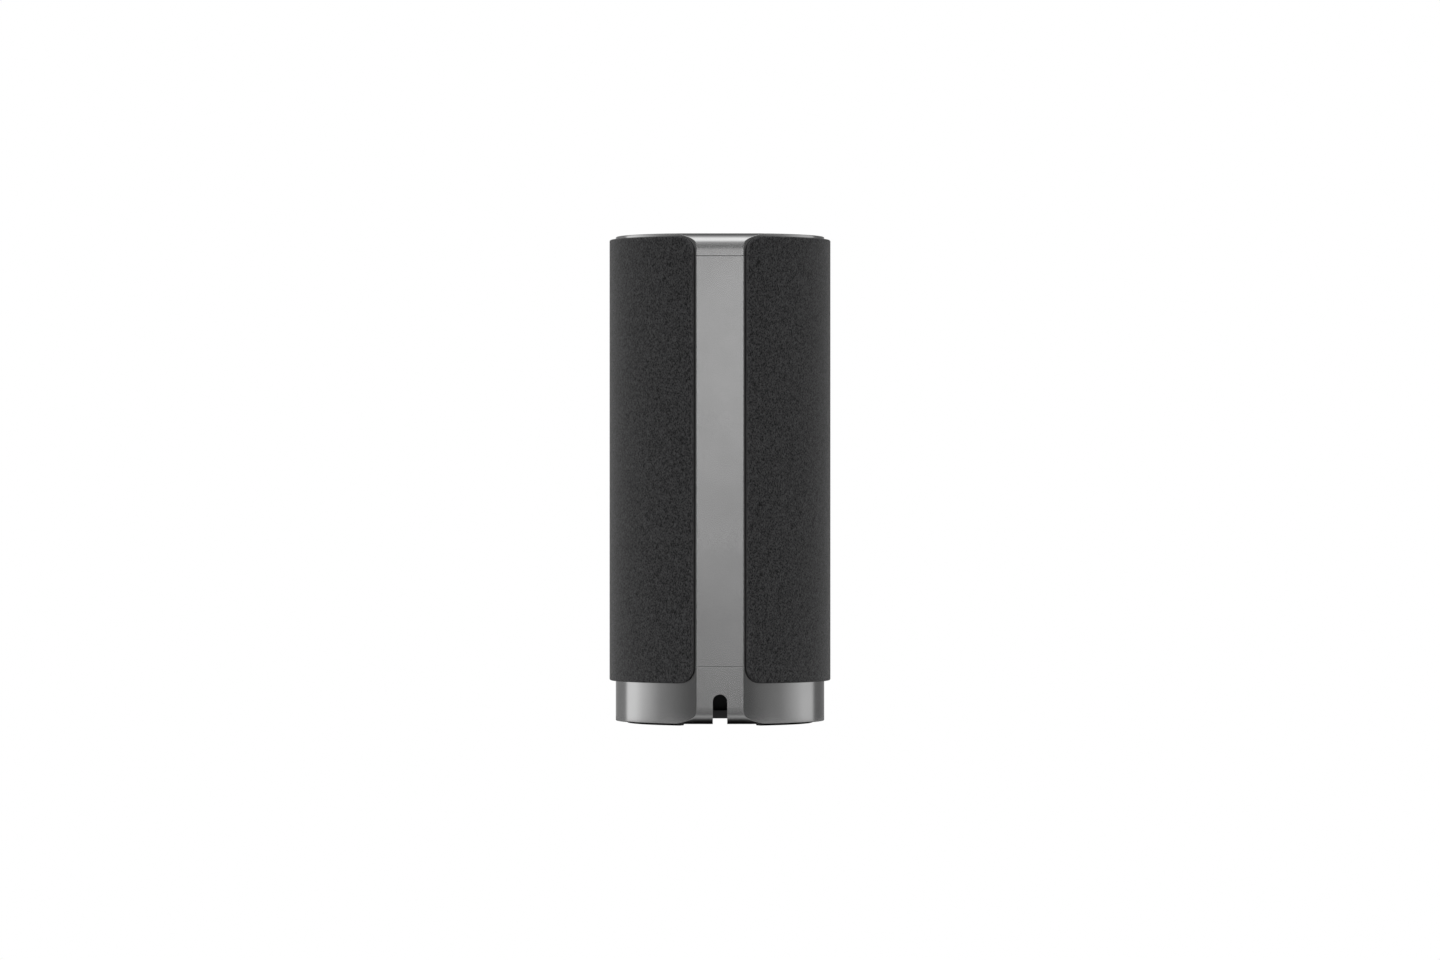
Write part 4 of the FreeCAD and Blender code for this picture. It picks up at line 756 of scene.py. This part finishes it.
# %% [markdown]
# ## Cloth
# The grille is a polyester cloth pulled round a plastic lattice and glued behind its rim. Its yarns are two
# near-black shades twisted together, so it looks mottled close up and plain from afar. A simulation would only
# find the taut shape again, so the sheet is worked out: a flat rounded rectangle, bent round the drum, with a
# turned rim. Its UV map is in metres of cloth, so the weave follows the bend without stretching.

# %% Cloth shape
CLOTH_T = 0.6
CORNER = 8.0
RIM = 0.8
CLOTH_IN = 52.6
END_ANGLE = math.radians(13.9)
half_span = CLOTH_R * (math.pi - END_ANGLE) - CORNER
half_rise = (CLOTH_HIGH - CLOTH_LOW) / 2 - CORNER
MIDDLE = (CLOTH_HIGH + CLOTH_LOW) / 2


def cloth_path(along, up, per_corner):
    """Points on the inner rectangle, in order round it, and the outward direction at each: the four sides
    keep one direction each, and each corner point is repeated while the direction turns by a right angle."""
    s, z = np.linspace(-half_span, half_span, along), np.linspace(-half_rise, half_rise, up)
    turn = np.linspace(0, math.pi / 2, per_corner + 2)[1:-1]
    points, ways = [], []
    sides = [(s, np.full(along, -half_rise), -math.pi / 2), (np.full(up, half_span), z, 0.0),
             (s[::-1], np.full(along, half_rise), math.pi / 2), (np.full(up, -half_span), z[::-1], math.pi)]
    for x, y, angle in sides:
        points.append(np.stack([x, y], -1))
        ways.append(np.full(len(x), angle))
        points.append(np.repeat(points[-1][-1:], per_corner, 0))
        ways.append(angle + turn)
    angle = np.concatenate(ways)
    return np.concatenate(points), np.stack([np.cos(angle), np.sin(angle)], -1)


def on_drum(flat, radius):
    """Bends flat cloth (s, h) round the drum: the angle from the front is s over the cloth's radius."""
    t = flat[..., 0] / CLOTH_R
    return np.stack(np.broadcast_arrays(radius * np.sin(t), radius * np.cos(t), MIDDLE + flat[..., 1]), -1)


path, outward = cloth_path(161, 13, 8)
a = np.linspace(math.pi / 2, math.pi, 7)
reach = np.concatenate([[0.0, 2.5, 4.5, 5.8, 6.5], CORNER - RIM - RIM * np.cos(a), np.full(2, CORNER),
                        [CORNER - 0.3, CORNER - 1.6]])
depth = np.concatenate([np.zeros(5), RIM - RIM * np.sin(a), [RIM + 0.6, CLOTH_R - CLOTH_IN - 0.3],
                        [CLOTH_R - CLOTH_IN, CLOTH_R - CLOTH_IN]])
travel = np.concatenate([[0], np.cumsum(np.hypot(np.diff(reach), np.diff(depth)))])
band = path[None] + outward[None] * reach[:, None, None]
band_points = on_drum(band, (CLOTH_R - depth)[:, None] * np.ones(len(path)))
band_uv = path[None] + outward[None] * travel[:, None, None]

s, h = np.linspace(-half_span, half_span, 161), np.linspace(-half_rise, half_rise, 13)
middle = np.stack(np.meshgrid(s, h), -1)
middle_points = on_drum(middle, CLOTH_R)
vertices = np.concatenate([band_points.reshape(-1, 3), middle_points.reshape(-1, 3)]) / 1000
uv = np.concatenate([band_uv.reshape(-1, 2), middle.reshape(-1, 2)]) / 1000
faces = np.concatenate([grid_faces(len(reach), len(path), False, True),
                        grid_faces(13, 161, False, False) + band_points.shape[0] * band_points.shape[1]])
cloth_mesh = bpy.data.meshes.new("cloth_sleeve")
cloth_mesh.from_pydata(vertices.tolist(), [], faces.tolist())
cloth_mesh.polygons.foreach_set("material_index", np.repeat([0, 1, 0], [11 * len(path), 4 * len(path), 12 * 160]))
# Painted highlight on the turned rim: paler on the upright sides beside the strip, none at the top and bottom.
rim = np.zeros((len(reach), len(path)))
rim[5:9] = np.array([0.2, 0.6, 0.7, 0.4])[:, None] * np.abs(outward[:, 0])
rim_highlight_layer = cloth_mesh.attributes.new("painted_rim_highlight", "FLOAT", "POINT")
rim_highlight_layer.data.foreach_set("value", np.concatenate([rim.ravel(), np.zeros(s.size * h.size)]).astype(np.float32))
layer = cloth_mesh.uv_layers.new(name="weave")
layer.data.foreach_set("uv", uv[faces.ravel()].astype(np.float32).ravel())


# %% Woven cloth
# Fine yarns of black and charcoal run on both slants. Each yarn shows in short floats with a random grey of
# their own, which makes the fine speckle, and the floats stand proud of the gaps between them. The rim beside
# the strip has a painted highlight where it turns and catches light, and sheen lifts the cloth where it turns away.
def woven_cloth():
    material = bpy.data.materials.new("melange_cloth")
    material.use_nodes = True
    tree = material.node_tree
    shader = tree.nodes["Principled BSDF"]
    flat = add(tree, "ShaderNodeUVMap", {"uv_map": "weave"}).outputs[0]
    wobble = add(tree, "ShaderNodeTexNoise", Vector=flat, Scale=400.0, Detail=1.0)
    nudged = add(tree, "ShaderNodeVectorMath", {"operation": "MULTIPLY_ADD"}, _0=wobble.outputs["Color"],
                 _1=(0.0004, 0.0004, 0), _2=flat).outputs[0]
    greys = []
    for turn, seed in ((0.785, 3.0), (-0.785, 11.0)):
        yarn = add(tree, "ShaderNodeMapping", Vector=nudged, Rotation=(0, 0, turn), Scale=(2800, 1500, 1),
                   Location=(seed, seed, 0)).outputs[0]
        cell = add(tree, "ShaderNodeVectorMath", {"operation": "FLOOR"}, _0=yarn).outputs[0]
        greys.append(add(tree, "ShaderNodeTexWhiteNoise", {"noise_dimensions": "2D"}, Vector=cell).outputs[0])
    weave = add(tree, "ShaderNodeMapping", Vector=nudged, Rotation=(0, 0, 0.785), Scale=(2000, 2000, 1)).outputs[0]
    u, v, w = add(tree, "ShaderNodeSeparateXYZ", _0=weave).outputs
    height = maths(tree, "ABSOLUTE", maths(tree, "MULTIPLY", maths(tree, "SINE", maths(tree, "MULTIPLY", u, math.pi)),
                                           maths(tree, "SINE", maths(tree, "MULTIPLY", v, math.pi))))
    grey = maths(tree, "MULTIPLY", maths(tree, "ADD", *greys), 0.5)
    tint = maths(tree, "MULTIPLY", grey, maths(tree, "MULTIPLY_ADD", height, 0.3, 0.85))
    yarns = ramp(tree, tint, [(0.15, linear("#131314")), (0.80, linear("#656566"))])
    # Painted highlight: the rim's yarns are lifted paler where the rim catches the light.
    painted_highlight_mask = add(tree, "ShaderNodeAttribute", {"attribute_name": "painted_rim_highlight"}).outputs["Fac"]
    paler = add(tree, "ShaderNodeMix", {"data_type": "RGBA", "blend_type": "ADD"}, _6=yarns,
                _0=painted_highlight_mask, _7=linear("#3c3c3d"))
    tree.links.new(paler.outputs[2], shader.inputs["Base Color"])
    bump = add(tree, "ShaderNodeBump", Height=height, Strength=0.4, Distance=0.00015)
    tree.links.new(bump.outputs[0], shader.inputs["Normal"])
    shader.inputs["Roughness"].default_value = 0.85
    shader.inputs["Sheen Weight"].default_value = 0.5
    shader.inputs["Sheen Roughness"].default_value = 0.4
    shader.inputs["Specular IOR Level"].default_value = 0.3
    return material


sleeve = finished("cloth_sleeve", cloth_mesh, [woven_cloth(), FINISHES["abs_black"]])
thickness = sleeve.modifiers.new("cloth thickness", "SOLIDIFY")
thickness.thickness, thickness.offset = CLOTH_T / 1000, -1
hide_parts("grille_cloth")

# %% Finishes on the engineering pieces
for part in frame["record"]["subparts"]:
    node = frame["nodes"][part["node"]]
    if not node.hide_render:
        node.data.materials.clear()
        covers = part["node"] == "bottom_cover"
        # The cover's paler grey is painted light: a lift for the light its lip would catch in the slot.
        node.data.materials.append(COVER_PLASTIC_PAINTED_PALE if covers else FINISHES[part["material_slot"]])
print("dressed", sum(not node.hide_render for node in frame["nodes"].values()), "nodes")

# %% Visual box
low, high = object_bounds()
print("visual box", [round(x, 4) for x in low], [round(x, 4) for x in high])
